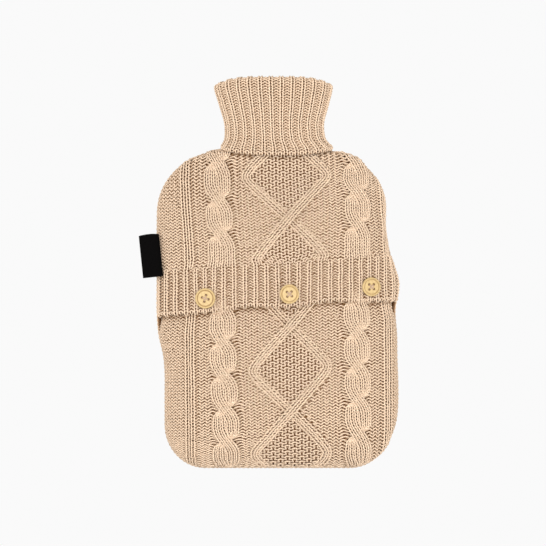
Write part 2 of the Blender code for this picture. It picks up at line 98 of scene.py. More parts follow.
# The side edges without their rounded ends: x of each, at heights y.
SIDES = {
    "y":     (-150.0, -120.0, -75.0, -59.0, -37.0, -9.0, 13.0, 40.0, 62.0),
    "left":  (-103.7, -103.6, -105.3, -109.0, -110.9, -110.9, -110.9, -110.9, -110.6),
    "right": (108.5, 110.8, 110.0, 109.8, 108.3, 110.9, 104.6, 99.0, 99.4),
}
FOOT_CORNER_LEFT = {"start_y": -140.0, "end_y": FOOT_Y, "width": 37.0}
FOOT_CORNER_RIGHT = {"start_y": -130.0, "end_y": FOOT_Y, "width": 42.0}
SHOULDER_LEFT = {"start_y": 55.0, "end_y": SHOULDER_Y,
                 "width": -SIDES["left"][-1] - NECK_HALF_WIDTH + NECK_X}
SHOULDER_RIGHT = {"start_y": 58.0, "end_y": SHOULDER_Y,
                  "width": SIDES["right"][-1] - NECK_HALF_WIDTH - NECK_X}

FINE_COLUMNS = 120
CORNER_STEPS = 14
STRAIGHT_STEP = 2.8
SOFTENING_PASSES = 10

# ---------------------------------------------------------------- the knitting chart

CHART_X = 11.5
ROW_SLOPE = 0.065       # rows rise to the right, except near the foot and the neck
LEVEL_BELOW_Y = -140.0
LEVEL_FROM_Y = 60.0
LEVEL_ABOVE_Y = 105.0
COURSE = 2.79           # height of one row of stitches
BAND_LOW_Y = -33.1
BAND_HIGH_Y = 7.8
UNDERLAP_GAP = 1.0      # room between the lower front and the flap over it
UNDERLAP_START = 1.0    # the lower front sinks between these distances below the flap's edge
UNDERLAP_END = 18.0
# Where the lattice's bands cross, and by how many rows the cables follow there.
FLAP_CROSSINGS = {"y": 49.0, "cable_row": 3.5, "last_repeat": 0}
LOWER_CROSSINGS = {"y": -48.8, "cable_row": 3.7, "last_repeat": 9}
HIDDEN_COURSES = 5      # courses of the lower front that run on under the flap
JOINING_COURSES = 3     # courses above the band in which the ribs join the chart's wales

CHART = {
    "y":           (-150.0, -75.0, 20.0, 85.0),
    "left_strip":  (-79.5, -80.3, -81.0, -86.0),
    "left_cable":  (-46.5, -49.7, -51.1, -56.1),
    "lattice":     (12.5, 11.5, 11.5, 8.3),
    "right_cable": (74.0, 72.7, 72.7, 74.1),
    "right_strip": (101.5, 101.2, 99.5, 96.0),
    "reach":       (33.0, 33.8, 32.5, 37.0),
}
CHART_LOW_Y = -135.0    # beyond these heights the wales run on and the seam cuts them
CHART_HIGH_Y = 60.0

# Wales from seam to seam: purl, strip, purl, cable, lattice, cable, purl, strip, purl.
LEFT_EDGE_WALES = 7
STRIP_WALES = 2
BESIDE_CABLE_WALES = 3
STRAND_WALES = 3
BAND_WALES = 2
SIDE_WALES = 8          # ground and moss wales on either side of the lattice's middle
OUTSIDE_WALES = 3       # of them, outside its bands where these are furthest apart
RIGHT_EDGE_WALES = 3
LINE_WALES = np.cumsum((  # the wales on which the chart's lines run, from seam to seam
    0,
    LEFT_EDGE_WALES + STRIP_WALES // 2,
    STRIP_WALES // 2 + BESIDE_CABLE_WALES + STRAND_WALES,
    STRAND_WALES + BAND_WALES + SIDE_WALES,
    SIDE_WALES + BAND_WALES + STRAND_WALES,
    STRAND_WALES + BESIDE_CABLE_WALES + STRIP_WALES // 2,
    STRIP_WALES // 2 + RIGHT_EDGE_WALES,
))
WALES = int(LINE_WALES[-1])

STRIP_WALE = 5.2        # widths of one wale
CABLE_WALE = 4.25
BAND_WALE = 4.7
CABLE_ROWS = 11.0
CABLE_SWING = 6.35
FRONT_QUICKNESS = 2.1   # the strands change places in a part of the repeat
BACK_QUICKNESS = 4.2
FRONT_SQUEEZE = 0.12    # how much narrower the strands are where they cross
BACK_SQUEEZE = 0.5
GROUND_WALE = 5.4
MOSS_WALE = 6.5
DIAMOND_ROWS = 28.0
DIAMOND_ROUNDING = 1.6  # rows over which a band turns at its widest place
LEAN_LIMIT = 1.1        # a slanting strand is wider across the row, up to this slant
BAND_ROOM = 1.2         # room kept for a band between its ground and moss, in band widths
ROOM_SLACK = 0.1        # a ground wale may be this much wider before another is added

STRIP_HEIGHT = 1.1      # height of the cloth's middle over the plain ground's
CABLE_HEIGHT = 1.5
CABLE_LIFT = 1.9
CABLE_SINK = 1.7
STRAND_CROWN = 0.4
BAND_HEIGHT = 1.4
BAND_LIFT = 1.4
BAND_SINK = 1.6
BAND_CROWN = 0.35
BANDS_MEET = (3.0, 0.8) # a band rises or sinks from this many half widths off the middle
COVERED_SINK = 1.3      # how far a strand presses down the ground that it lies over
COVER_START = 0.6       # the ground begins to sink this far outside its edge
COVER_FULL = 2.0        # and lies deepest this far inside it
MOSS_HEIGHT = 0.3
RIB_HEIGHT = 1.3
RIB_DEPTH = 0.5
FOOT_FADE = 16.0        # cables and bands flatten towards the foot seam
RIB_FULLNESS = 0.05     # how much of its neighbours' room a knit rib takes
RIB_SPREAD = 0.03       # the ribs are wider in the middle than at the seams

# ---------------------------------------------------------------- yarn

YARN_RADIUS = 0.72
YARN_SIDES = 5
HIDDEN_SIDES = 4        # yarn of the back and the collar's inside has fewer flat sides
YARN_LAY = 5.5          # length of yarn in which its plies turn once
YARN_PLIES = 3
CLOTH_MIDDLE = -1.45    # the yarn's middle surface, under the solid's skin
LOOP_HEIGHT = 2.1       # half the height of a loop
BACK_LOOP = 1.12        # height of the back's and the collar's loops, as a part of that
COLLAR_LOOP = 0.92
LOOP_BULGE = 0.22       # how far a loop narrows at its neck, as a part of the wale's width
LEG_SPREAD = 0.02       # how far a loop's legs stand apart, beyond even spacing
LOOP_DEPTH = 0.9        # a loop's way in front of the cloth's middle and behind it
PURL_STRETCH = 1.13     # purl loops stand higher than knit ones
LOOP_STEPS = (0.0, 0.26, 0.5, 0.74, 1.0, 1.26, 1.5, 1.74)
PLAIN_STEPS = (0.0, 0.36, 0.76, 1.0, 1.24, 1.64)
FRONT_START = 0.3       # from the foot seam to the first course's middle
BACK_START = 0.5
BACK_COURSE = 3.2
BACK_WALES = 50
BACKING_DEPTH = 2.5     # the backing's outer face under the solid's skin
BACKING_THICKNESS = 0.5
PANEL_TOP_Y = 114.0     # the collar hides the panels' last courses
UNEVENNESS = 0.11       # chance shifts of single loops, and how much of them is in height
ROUGHNESS = 0.7
NOOK_START = 0.22       # painted shade: how far in the yarn begins to darken, from its front to its back
NOOK_END = 0.66
RELIEF_SHADE = 0.4      # how much the cloth's own relief counts in this painted shade
HIGHEST_SHADE = 0.2     # and the height up to which it does
RAISED_LIGHT = 0.35     # painted light: raised stitches stay lighter
# the cables and the lattice's bands get more painted light
CORD_LIGHT = 0.2
EDGE_SHADE = 0.9        # painted shadow: stitches close under a free edge are darker, to these distances below it
EDGE_SHADE_START = 0.5
FLAP_SHADE_END = 6.5
COLLAR_SHADE_END = 5.0
COLLAR_RIBS = 0.75      # the collar's ribs are flatter than the band's
COLLAR_PURL_LEG = 0.35
EDGE_RISE = 3.4         # how far the flap's edge is drawn up between its buttons
EDGE_ROLL = 1.2         # free edges roll inwards round this radius
EDGE_TUCK = 2.2         # how much of the cloth is rolled in
EDGE_START = 1.9        # the roll begins this far above the edge
SEAM_STEP = 1.3         # the seam's two yarns are twisted together
SEAM_TURN = 8.0
SEAM_INSET = 0.7
SEAM_RADIUS = 0.6
SEAM_SHADE = 0.6        # painted shade: how far forward a yarn counts where the twist turns it outwards
SEAM_REACH = 0.5        # the panels' yarns end this far past the seam

# ---------------------------------------------------------------- collar

COLLAR = {
    "y":      (104.0, 112.5, 120.0, 131.5, 155.0, 170.0, 180.0),
    "middle": (0.0, -0.2, -1.8, -2.7, -3.2, -3.6, -3.6),
    "half":   (54.4, 53.6, 47.4, 45.3, 50.5, 54.4, 54.8),
    "front":  (21.0, 19.6, 18.2, 17.0, 18.2, 19.0, 19.0),
    "back":   (17.2, 17.2, 17.0, 16.6, 17.1, 17.3, 17.3),
}
COLLAR_TOP_Y = 179.0
COLLAR_WALES = 50
COLLAR_SQUARENESS = 2.4
COLLAR_COURSE = 2.4
COLLAR_HEIGHT = 65.0    # courses are counted along this much of the outer layer
COLLAR_INNER = 60.0     # the inner layer runs down from the fold into the body's neck
INNER_TAPER = 6.0       # and draws in there, between these distances below the fold
TAPER_START = 34.0
TAPER_END = 50.0
COLLAR_GIRTH = 290.0    # scales the chance shifts of its loops
OUTER_ROWS = 30
COLLAR_FOLD = CLOTH + 0.6  # the fold's radius, with a gap of 1.2 between its layers
TOP_DROP = 6.5
FOOT_SIDE_Y = 113.4
FOOT_FRONT_DROP = 7.2

# ---------------------------------------------------------------- sheets

# Rows of the backings under the yarn: from one height to another, and how many.
BACK_ROWS = ((FOOT_Y, -140.0, 12), (-134.0, 40.0, 30), (46.0, 116.0, 16))
LOWER_ROWS = ((FOOT_Y, -150.0, 10), (-146.0, -14.0, 34))
FLAP_ROWS = ((BAND_LOW_Y + EDGE_START, 54.0, 24), (58.0, 116.0, 16))
PANEL_COLUMNS = 91
BACK_COLUMNS = 81
COLLAR_COLUMNS = 105

# ---------------------------------------------------------------- label, buttons and thread

LABEL_CENTRE = (-115.9, 14.6)
LABEL_WIDTH = 18.6
LABEL_LENGTH = 38.8
LABEL_BOW = 0.9
LABEL_LAYER = 0.9
LABEL_LAYER_GAP = 0.5
LABEL_TURN = 6.0
LABEL_ROOT_Z = 32.2
LABEL_DROOP = 1.5
LABEL_TILT = 0.07
LABEL_WAVE = 0.35
LABEL_WAVE_LENGTH = 7.0
LABEL_WAVE_START = 0.6
WEAVE_THREAD = 0.55     # width of one of the ribbon's threads
WEAVE_TURNS = 3.0       # threads between two of its rows of points

BUTTONS = (
    # name, x, y, radius, turn of the holes in degrees
    ("left", -65.4, -24.0, 9.35, 30.0),
    ("centre", 10.9, -20.1, 8.9, 4.0),
    ("right", 85.0, -13.5, 8.7, 2.0),
)
BUTTON_THICKNESS = 3.3
BUTTON_SEAT = 0.7
HOLE_RADIUS = 1.15
HOLE_OFFSET = 2.15
BUTTON_GROOVE = 7.55     # from the middle of the button's foot to the groove in its rim
HOLE_FLOOR = 1.3
GROOVE_WIDTH = 0.6      # painted shade reaches this far from the groove's middle
HOLES_REACH = 5.0       # and marks the holes' floors with painted shade this far from the button's middle
HOLE_SHADE_RISE = 1.0        # up to this far above them
THREAD_RADIUS = 0.26
DIMPLE_REACH = 13.0     # how far round a button the band is drawn in
DIMPLE_DEPTH = 0.8
DIMPLE_PULL = 0.10
THREAD_ASIDE = 0.27     # each stitch has two strands, this far from its middle
DOWN = np.array([0.0, -1.0, 0.0])
UP = np.array([0.0, 0.0, 1.0])

# ---------------------------------------------------------------- stage

CAMERA_AIM = (4.0, -0.9)  # the picture's middle falls here on the cover
LIGHTS = (
    # name, place and size in metres, share of the key light's power
    ("overhead", (-0.1, 0.1, 1.3), 1.4, 1.0),
    ("foot_side", (0.3, -1.1, 0.7), 0.9, 0.3),
    ("left_side", (-1.1, 0.3, 0.7), 0.9, 0.3),
    ("right_side", (1.1, 0.2, 0.7), 0.9, 0.3),
)

# ---------------------------------------------------------------- curves


def through_points(at, heights, values):
    """A smooth line through a short table's points, read at the given heights."""
    heights = np.asarray(heights)
    values = np.asarray(values)
    slopes = np.gradient(values, heights)
    place = np.clip(at, heights[0], heights[-1])
    k = np.clip(np.searchsorted(heights, place) - 1, 0, len(heights) - 2)
    span = heights[k + 1] - heights[k]
    t = (place - heights[k]) / span
    start = (1 + 2 * t) * (1 - t) ** 2 * values[k] + t * (1 - t) ** 2 * span * slopes[k]
    end = t * t * (3 - 2 * t) * values[k + 1] - t * t * (1 - t) * span * slopes[k + 1]
    return start + end


def smooth_step(value, low, high):
    t = np.clip((value - low) / (high - low), 0.0, 1.0)
    return t * t * (3 - 2 * t)


def corner(y, shape):
    """How far a rounded corner takes the side in, at height y."""
    along = np.clip((y - shape["start_y"]) / (shape["end_y"] - shape["start_y"]), 0.0, 1.0)
    return shape["width"] * (1 - np.sqrt(1 - along ** 2))


def left_edge(y):
    side = through_points(y, SIDES["y"], SIDES["left"])
    return side + corner(y, FOOT_CORNER_LEFT) + corner(y, SHOULDER_LEFT)


def right_edge(y):
    side = through_points(y, SIDES["y"], SIDES["right"])
    return side - corner(y, FOOT_CORNER_RIGHT) - corner(y, SHOULDER_RIGHT)


def chart_line(name, y):
    return through_points(y, CHART["y"], CHART[name])


# ---------------------------------------------------------------- surfaces to knit on


class Surface:
    """A grid of points to lay yarn on, read at a place along its rows and columns."""

    def __init__(self, points, levels, closed=False, inside_out=False):
        up = np.gradient(points, axis=0)
        across = np.gradient(points, axis=1)
        if closed:
            across[:, 0] = across[:, -1] = points[:, 1] - points[:, -2]
        normals = np.cross(across, up) * (-1 if inside_out else 1)
        length = np.linalg.norm(normals, axis=-1, keepdims=True)
        self.grid = np.concatenate([points, normals / np.maximum(length, 1e-9)], axis=-1)
        self.inside_out = inside_out
        self.levels = levels
        self.closed = closed
        steps = np.linalg.norm(np.diff(points, axis=1), axis=-1)
        self.lengths = steps.sum(axis=1)
        middle = points[:, points.shape[1] // 2]
        climb = np.linalg.norm(np.diff(middle, axis=0), axis=-1)
        self.climb = np.concatenate([[0.0], np.cumsum(climb)])

    def length_at(self, level):
        return np.interp(level, self.levels, self.lengths)

    def climb_at(self, level):
        """Distance up the middle of the surface at a level."""
        return np.interp(level, self.levels, self.climb)

    def level_at(self, climb):
        return np.interp(climb, self.climb, self.levels)

    def read(self, share, level):
        """Points and normals at shares of the way across and at levels."""
        row = np.interp(level, self.levels, np.arange(len(self.levels)))
        j = np.clip(row.astype(int), 0, len(self.levels) - 2)
        last = self.grid.shape[1] - 1
        share = share % 1.0 if self.closed else np.clip(share, 0.0, 1.0)
        i = np.clip((share * last).astype(int), 0, last - 1)
        v = (row - j)[..., None]
        u = (share * last - i)[..., None]
        low = self.grid[j, i] * (1 - u) + self.grid[j, i + 1] * u
        high = self.grid[j + 1, i] * (1 - u) + self.grid[j + 1, i + 1] * u
        mixed = low * (1 - v) + high * v
        return mixed[..., :3], mixed[..., 3:]


def body_heights():
    """Heights of the body's sections, closest together round the corners."""
    turn = np.linspace(pi / 2, 0.0, CORNER_STEPS)
    foot = FOOT_CORNER_RIGHT["start_y"] + (FOOT_Y - FOOT_CORNER_RIGHT["start_y"]) * np.sin(turn)
    low = SHOULDER_LEFT["start_y"]
    shoulder = low + (SHOULDER_Y - low) * np.sin(turn[::-1])
    straight = np.arange(foot[-1] + STRAIGHT_STEP, low - 1.0, STRAIGHT_STEP)
    neck = np.linspace(SHOULDER_Y, NECK_Y, 4)[1:]
    return np.concatenate([foot, straight, shoulder, neck])


def distance_from_edge(x, y):
    """Distance of each point from the outline, which runs on up past the neck."""
    sections = np.concatenate([body_heights(), [NECK_Y + ROUNDING]])
    left = np.stack([left_edge(sections), sections], axis=1)
    right = np.stack([right_edge(sections), sections], axis=1)
    line = np.concatenate([left[::-1], right])
    start = line[:-1]
    run = line[1:] - start
    points = np.stack([x.ravel(), y.ravel()], axis=1)[:, None, :]
    along = ((points - start) * run).sum(-1) / np.maximum((run ** 2).sum(-1), 1e-9)
    nearest = start + np.clip(along, 0.0, 1.0)[..., None] * run
    return np.sqrt(((points - nearest) ** 2).sum(-1)).min(axis=1).reshape(x.shape)


def soften(field):
    """Rounds the ridge lines where the distance from two edges is the same."""
    for _ in range(SOFTENING_PASSES):
        inner = field[1:-1, 1:-1]
        around = field[:-2, 1:-1] + field[2:, 1:-1] + field[1:-1, :-2] + field[1:-1, 2:]
        field[1:-1, 1:-1] = 0.5 * inner + 0.125 * around
    return field


def body_surface(is_front):
    """One face of the body, from seam to seam, with equal steps across each section."""
    heights = body_heights()
    across = np.sin(np.linspace(-pi / 2, pi / 2, FINE_COLUMNS + 1))
    middle = (left_edge(heights) + right_edge(heights)) / 2
    half = (right_edge(heights) - left_edge(heights)) / 2
    x = middle[:, None] + half[:, None] * across
    y = np.repeat(heights[:, None], FINE_COLUMNS + 1, axis=1)
    inside = soften(distance_from_edge(x, y))
    if is_front:
        closeness = 1 - np.clip(inside / ROUNDING, 0.0, 1.0)
        full = 1 + (FRONT_NECK_FULLNESS - 1) * smooth_step(y, FRONT_FLATTENS_Y, SHOULDER_Y)
        rise = (CROWN_Z - SEAM_Z - SEAM_LIP) * full * np.sqrt(1 - closeness ** 3)
        z = SEAM_Z + SEAM_LIP + rise
    else:
        closeness = 1 - np.clip(inside / BACK_ROUNDING, 0.0, 1.0)
        full = 1 + (BACK_NECK_FULLNESS - 1) * smooth_step(y, BACK_FLATTENS_Y, SHOULDER_Y)
        z = (SEAM_Z - SEAM_LIP) * (1 - full * np.sqrt(1 - closeness ** 2))
    even = np.linspace(0.0, 1.0, FINE_COLUMNS + 1)
    points = np.zeros(x.shape + (3,))
    for j in range(len(heights)):
        section_x = np.concatenate([x[j, :1], x[j], x[j, -1:]])
        section_z = np.concatenate([[SEAM_Z], z[j], [SEAM_Z]])
        steps = np.hypot(np.diff(section_x), np.diff(section_z))
        length = np.concatenate([[0.0], np.cumsum(steps)])
        points[j, :, 0] = np.interp(even * length[-1], length, section_x)
        points[j, :, 1] = heights[j]
        points[j, :, 2] = np.interp(even * length[-1], length, section_z)
    return Surface(points, heights, inside_out=not is_front)


def around_collar():
    """Cosine and sine round the collar's section, in equal steps of its girth."""
    turn = np.linspace(0.0, 2 * pi, 721)
    across = np.sign(np.cos(turn)) * np.abs(np.cos(turn)) ** (2 / COLLAR_SQUARENESS)
    up = np.sign(np.sin(turn)) * np.abs(np.sin(turn)) ** (2 / COLLAR_SQUARENESS)
    steps = np.hypot(np.diff(across * COLLAR["half"][3]), np.diff(up * COLLAR["back"][3]))
    length = np.concatenate([[0.0], np.cumsum(steps)])
    even = np.linspace(0.0, length[-1], 4 * COLLAR_WALES + 1)
    return np.interp(even, length, across), np.interp(even, length, up)


def collar_surface():
    """The collar's skin, up the outer layer, over the fold and down inside."""
    across, up = around_collar()
    foot = FOOT_SIDE_Y - FOOT_FRONT_DROP * np.maximum(up, 0) ** 2
    top = COLLAR_TOP_Y - TOP_DROP * np.abs(across) ** 4 - COLLAR_FOLD
    levels = np.concatenate([
        np.linspace(0.0, COLLAR_HEIGHT, OUTER_ROWS),
        COLLAR_HEIGHT + np.linspace(0.0, pi, 9)[1:] * COLLAR_FOLD,
        COLLAR_HEIGHT + pi * COLLAR_FOLD + np.linspace(0.0, COLLAR_INNER, 16)[1:],
    ])
    rows = []
    for level in levels:
        turn = np.clip((level - COLLAR_HEIGHT) / COLLAR_FOLD, 0.0, pi)
        down = max(level - COLLAR_HEIGHT - pi * COLLAR_FOLD, 0.0)
        climbed = min(level / COLLAR_HEIGHT, 1.0)
        y = foot + (top - foot) * climbed + COLLAR_FOLD * sin(turn) - down
        inset = COLLAR_FOLD * (1 - cos(turn)) + INNER_TAPER * smooth_step(
            down, TAPER_START, TAPER_END)
        middle, half, front, back = (through_points(y, COLLAR["y"], COLLAR[name])
                                     for name in ("middle", "half", "front", "back"))
        x = middle + (half - inset) * across
        z = SEAM_Z + (np.where(up > 0, front, back) - inset) * up
        rows.append(np.stack([x, y, z], axis=1))
    return Surface(np.array(rows)[:, ::-1], levels, closed=True)


# ---------------------------------------------------------------- where each wale runs


def wale_lines(surface, names):
    """Tables of how far from the left seam each of the chart's lines runs, by height."""
    even = np.linspace(0.0, 1.0, 401)

    def places(y, wanted):
        section, _ = surface.read(even, np.full_like(even, y))
        shares = [np.interp(chart_line(name, y), section[:, 0], even) for name in wanted]
        return [share * surface.length_at(y) for share in (*shares, 1.0)]

    levels = np.arange(FOOT_Y, NECK_Y + 0.1, 1.0)
    table = []
    for level in levels:
        middle, _ = places(level, ["lattice"])
        centre, *lines = places(np.clip(level, CHART_LOW_Y, CHART_HIGH_Y), ["lattice", *names])
        table.append(np.array([0.0, *lines]) - centre + middle)
    table = np.array(table)
    return lambda y: [np.interp(y, levels, column) for column in table.T]


def cable_swing(row, repeat, quickness):
    """Where a strand lies in its crossing, from -1 on the left to 1 on the right."""
    along = row / CABLE_ROWS - repeat
    return np.sin(pi / 2 * np.clip(along * quickness, -1.0, 1.0))


def band_offset(row, reach):
    """How far one of the lattice's bands lies to the right; the other mirrors it."""
    turn = (row / (2 * DIAMOND_ROWS) + 0.25) % 1.0
    from_peak = np.abs(4 * turn - 2)
    side = np.where(from_peak < 1.0, 1.0, -1.0)
    away = np.minimum(from_peak, 2 - from_peak)
    soft = 2 * DIAMOND_ROUNDING / DIAMOND_ROWS
    reached = (np.hypot(1.0, soft) - np.hypot(away, soft)) / (np.hypot(1.0, soft) - soft)
    return reach * side * reached


def rib_places(place):
    """Widens the knit wales of a ribbing, which are the odd ones."""
    return place - RIB_FULLNESS * (1 - np.cos(pi * place)) / 2


class Strand:
    """A cord of knit wales: its middle, half its width across the row, and its height."""

    def __init__(self, centre, half, lean, height):
        self.centre = centre
        self.half = half * np.sqrt(1 + np.clip(lean, -LEAN_LIMIT, LEAN_LIMIT) ** 2) + 0 * centre
        self.height = height
        self.left = centre - self.half
        self.right = centre + self.half

    def covers(self, part, along):
        """Share of the way down that the strand presses the ground under it."""
        inside = self.half[:, part] - np.abs(along - self.centre[:, part])
        return smooth_step(inside, -COVER_START, COVER_FULL)


class Course:
    """One course's loops: how far across and how high each step of its yarn lies."""

    def __init__(self, y, row, own_row, number, crossings, lines):
        self.row = row
        self.own_row = own_row
        self.number = number
        self.cable_row = crossings["cable_row"]
        self.repeat = min(round((own_row - self.cable_row) / CABLE_ROWS),
                          crossings["last_repeat"])
        self.reach = chart_line("reach", y)
        self.along = np.zeros_like(y)
        self.height = np.zeros_like(y)
        self.knit = np.full(WALES, -1.0)
        self.next = 0
        self.lines = lines(y)
        (self.seam_left, self.strip_left, self.cable_left, self.middle,
         self.cable_right, self.strip_right, self.seam_right) = self.lines

    def wale(self, left, right, knit=-1.0, under=(), height=0.0):
        """Lays the next loop between two lines; strands that lie over it press it down."""
        part = self.next
        self.next += 1
        along = left[:, part] + (right[:, part] - left[:, part]) * ACROSS
        covered = [strand.covers(part, along) for strand in under]
        self.along[:, part] = along
        self.height[:, part] = height - COVERED_SINK * np.max(covered + [0 * along], axis=0)
        self.knit[part] = knit
        return part, along

    def wales(self, count, start, end, knit=-1.0, height=0.0):
        """Wales set out evenly from start to end."""
        for k in range(count):
            step = (end - start) / count
            self.wale(start + step * k, start + step * (k + 1), knit, (), height)

    def ground(self, count, start, origin, side, end, under):
        """Plain wales counted from an origin; the loop next to a strand follows its edge."""
        furthest = np.maximum if side > 0 else np.minimum
        steps = [origin + side * GROUND_WALE * k for k in range(1, count + 1)]
        lines = [start, *steps[:-1], furthest(steps[-1], end)]
        for left, right in pairwise(lines[::side]):
            self.wale(left, right, -1.0, under)

    def lay(self, strand, count, crown):
        """Lays a strand's own wales, rounded like a cord."""
        for k in range(count):
            step = 2 * strand.half / count
            part, along = self.wale(strand.left + step * k, strand.left + step * (k + 1), 1.0)
            out = (along - strand.centre[:, part]) / strand.half[:, part]
            self.height[:, part] = strand.height[:, part] + crown * (1 - 2 * out ** 2)

    def cable(self, centre):
        """A cable's two strands, left one first; they change places once in a repeat."""
        def swing(row, quickness):
            return cable_swing(row - self.cable_row, self.repeat, quickness)

        half = STRAND_WALES * CABLE_WALE / 2
        lean = swing(self.row + 0.5, FRONT_QUICKNESS) - swing(self.row - 0.5, FRONT_QUICKNESS)
        over = swing(self.row, FRONT_QUICKNESS)
        below = swing(self.row, BACK_QUICKNESS)
        near = 1 - np.abs(over)
        front = Strand(centre + CABLE_SWING * over, half * (1 - FRONT_SQUEEZE * near),
                       lean * CABLE_SWING / COURSE, CABLE_HEIGHT + CABLE_LIFT * near)
        back = Strand(centre - CABLE_SWING * below, half * (1 - BACK_SQUEEZE * near), 0.0,
                      CABLE_HEIGHT - CABLE_SINK * (1 - np.abs(below)))
        return (front, back) if swing(self.own_row, FRONT_QUICKNESS) < 0 else (back, front)

    def bands(self):
        """The lattice's two bands, left one first."""
        offset = band_offset(self.row, self.reach)
        lean = (band_offset(self.row + 0.5, self.reach)
                - band_offset(self.row - 0.5, self.reach)) / COURSE
        own = float(band_offset(self.own_row, 1.0))
        falls = float(band_offset(self.own_row + 0.5, 1.0)) < float(
            band_offset(self.own_row - 0.5, 1.0))
        half = BAND_WALES * BAND_WALE / 2
        near = 1 - smooth_step(np.abs(offset), BANDS_MEET[1] * half, BANDS_MEET[0] * half)
        heights = (BAND_HEIGHT + BAND_LIFT * near, BAND_HEIGHT - BAND_SINK * near)
        if falls != (own < 0):
            heights = heights[::-1]
        aside = offset if own < 0 else -offset
        return [Strand(self.middle + aside, half, lean, heights[0]),
                Strand(self.middle - aside, half, lean, heights[1])]

    def lattice(self, start, end):
        """Plain ground, a band, moss stitch, a band and ground; the bands lie over both."""
        bands = self.bands()
        left_side = self.cable_left + CABLE_SWING + STRAND_WALES * CABLE_WALE / 2
        right_side = self.cable_right - CABLE_SWING - STRAND_WALES * CABLE_WALE / 2
        half = BAND_WALES * BAND_WALE / 2 * BAND_ROOM
        own = abs(float(band_offset(self.own_row, self.reach[0, WALES // 2])))
        room = float((self.middle - left_side)[0, WALES // 2]) - own - half
        outside = np.ceil(room / GROUND_WALE - ROOM_SLACK)
        outside = int(np.clip(outside, OUTSIDE_WALES, SIDE_WALES))
        inside = SIDE_WALES - outside
        self.ground(outside, start, left_side, 1, bands[0].left, bands)
        self.lay(bands[0], BAND_WALES, BAND_CROWN)
        for k in range(-inside, inside):
            left = self.middle + MOSS_WALE * k
            right = left + MOSS_WALE
            if k == -inside:
                left = np.minimum(left, bands[0].right)
            if k == inside - 1:
                right = np.maximum(right, bands[1].left)
            self.wale(left, right, 1.0 if (k + self.number) % 2 else -1.0, bands, MOSS_HEIGHT)
        self.lay(bands[1], BAND_WALES, BAND_CROWN)
        self.ground(outside, end, right_side, -1, bands[1].right, bands)

    def pattern(self):
        """The whole chart, from the left seam to the right one."""
        strip = STRIP_WALE * STRIP_WALES / 2
        left = self.cable(self.cable_left)
        right = self.cable(self.cable_right)
        self.wales(LEFT_EDGE_WALES, self.seam_left, self.strip_left - strip)
        self.wales(STRIP_WALES, self.strip_left - strip, self.strip_left + strip, 1.0,
                   STRIP_HEIGHT)
        self.ground(BESIDE_CABLE_WALES, self.strip_left + strip, self.strip_left + strip, 1,
                    np.minimum(left[0].left, left[1].left), left)
        for strand in left:
            self.lay(strand, STRAND_WALES, STRAND_CROWN)
        self.lattice(np.maximum(left[0].right, left[1].right),
                     np.minimum(right[0].left, right[1].left))
        for strand in right:
            self.lay(strand, STRAND_WALES, STRAND_CROWN)
        self.ground(BESIDE_CABLE_WALES, self.strip_right - strip, self.strip_right - strip, -1,
                    np.maximum(right[0].right, right[1].right), right)
        self.wales(STRIP_WALES, self.strip_right - strip, self.strip_right + strip, 1.0,
                   STRIP_HEIGHT)
        self.wales(RIGHT_EDGE_WALES, self.strip_right + strip, self.seam_right)

    def ribbing(self, above, is_band):
        """Draws the wales together into ribs, below and a few courses above the band's end."""
        place = rib_places(np.arange(WALES) + ACROSS[:, None])
        place = place - RIB_SPREAD * WALES * np.sin(2 * pi * place / WALES) / (2 * pi)
        along = self.seam_left
        for (low, left), (high, right) in pairwise(zip(LINE_WALES, self.lines)):
            along = along + (right - left) * np.clip((place - low) / (high - low), 0.0, 1.0)
        self.along += (along - self.along) * (1 - smooth_step(above, 0.0, JOINING_COURSES))
        knit = np.where(np.arange(WALES) % 2 == 1, 1.0, -1.0)
        ribs = np.where(knit > 0, RIB_HEIGHT, -RIB_DEPTH)
        self.height += (ribs - self.height) * (1 - smooth_step(above, -0.5, 0.8))
        if is_band:
            self.knit = knit if self.number else np.ones(WALES)


# ---------------------------------------------------------------- loops of yarn


def loop_path(steps):
    """One stitch: its place across the wale, its height, and its leg, head and foot shares."""
    turn = np.array(steps) * pi
    across = turn / (2 * pi) + LOOP_BULGE * np.sin(2 * turn)
    leg = np.sin(turn) ** 2
    across = across - LEG_SPREAD * leg * np.sign(1.0 - np.array(steps))
    head = np.where(np.cos(turn) < -0.01, 1 - leg, 0.0)
    foot = np.where(np.cos(turn) > 0.01, 1 - leg, 0.0)
    return across, -np.cos(turn), leg, head, foot


ACROSS = loop_path(LOOP_STEPS)[0]


def neighbours(values, closed):
    """Each wale's neighbours to its left and right; at an open side it is its own."""
    before = np.roll(values, 1, axis=-1)
    after = np.roll(values, -1, axis=-1)
    if not closed:
        before[..., 0] = values[..., 0]
        after[..., -1] = values[..., -1]
    return before, after


def loop_depths(knit, above, steps, closed, purl_leg=1.0):
    """How far each step of the yarn lies in front of the cloth's middle."""
    across, _, leg, head, foot = loop_path(steps)
    before, after = neighbours(knit, closed)
    feet = (knit + np.where(across[:, None] < 0.5, before, after)) / 2
    legs = np.where(knit > 0, 1.0, -purl_leg)
    return LOOP_DEPTH * (leg[:, None] * legs - head[:, None] * above - foot[:, None] * feet)


def spread_heights(height, steps, closed):
    """Heights between two wales are half way between theirs."""
    across = loop_path(steps)[0]
    before, after = neighbours(height, closed)
    aside = (np.abs(across - 0.5) * 2)[:, None] ** 2 / 2
    return height * (1 - aside) + np.where(across[:, None] < 0.5, before, after) * aside


def uneven(shape, seed):
    """Small chance differences from stitch to stitch."""
    return np.random.default_rng(seed).normal(0.0, UNEVENNESS, shape)


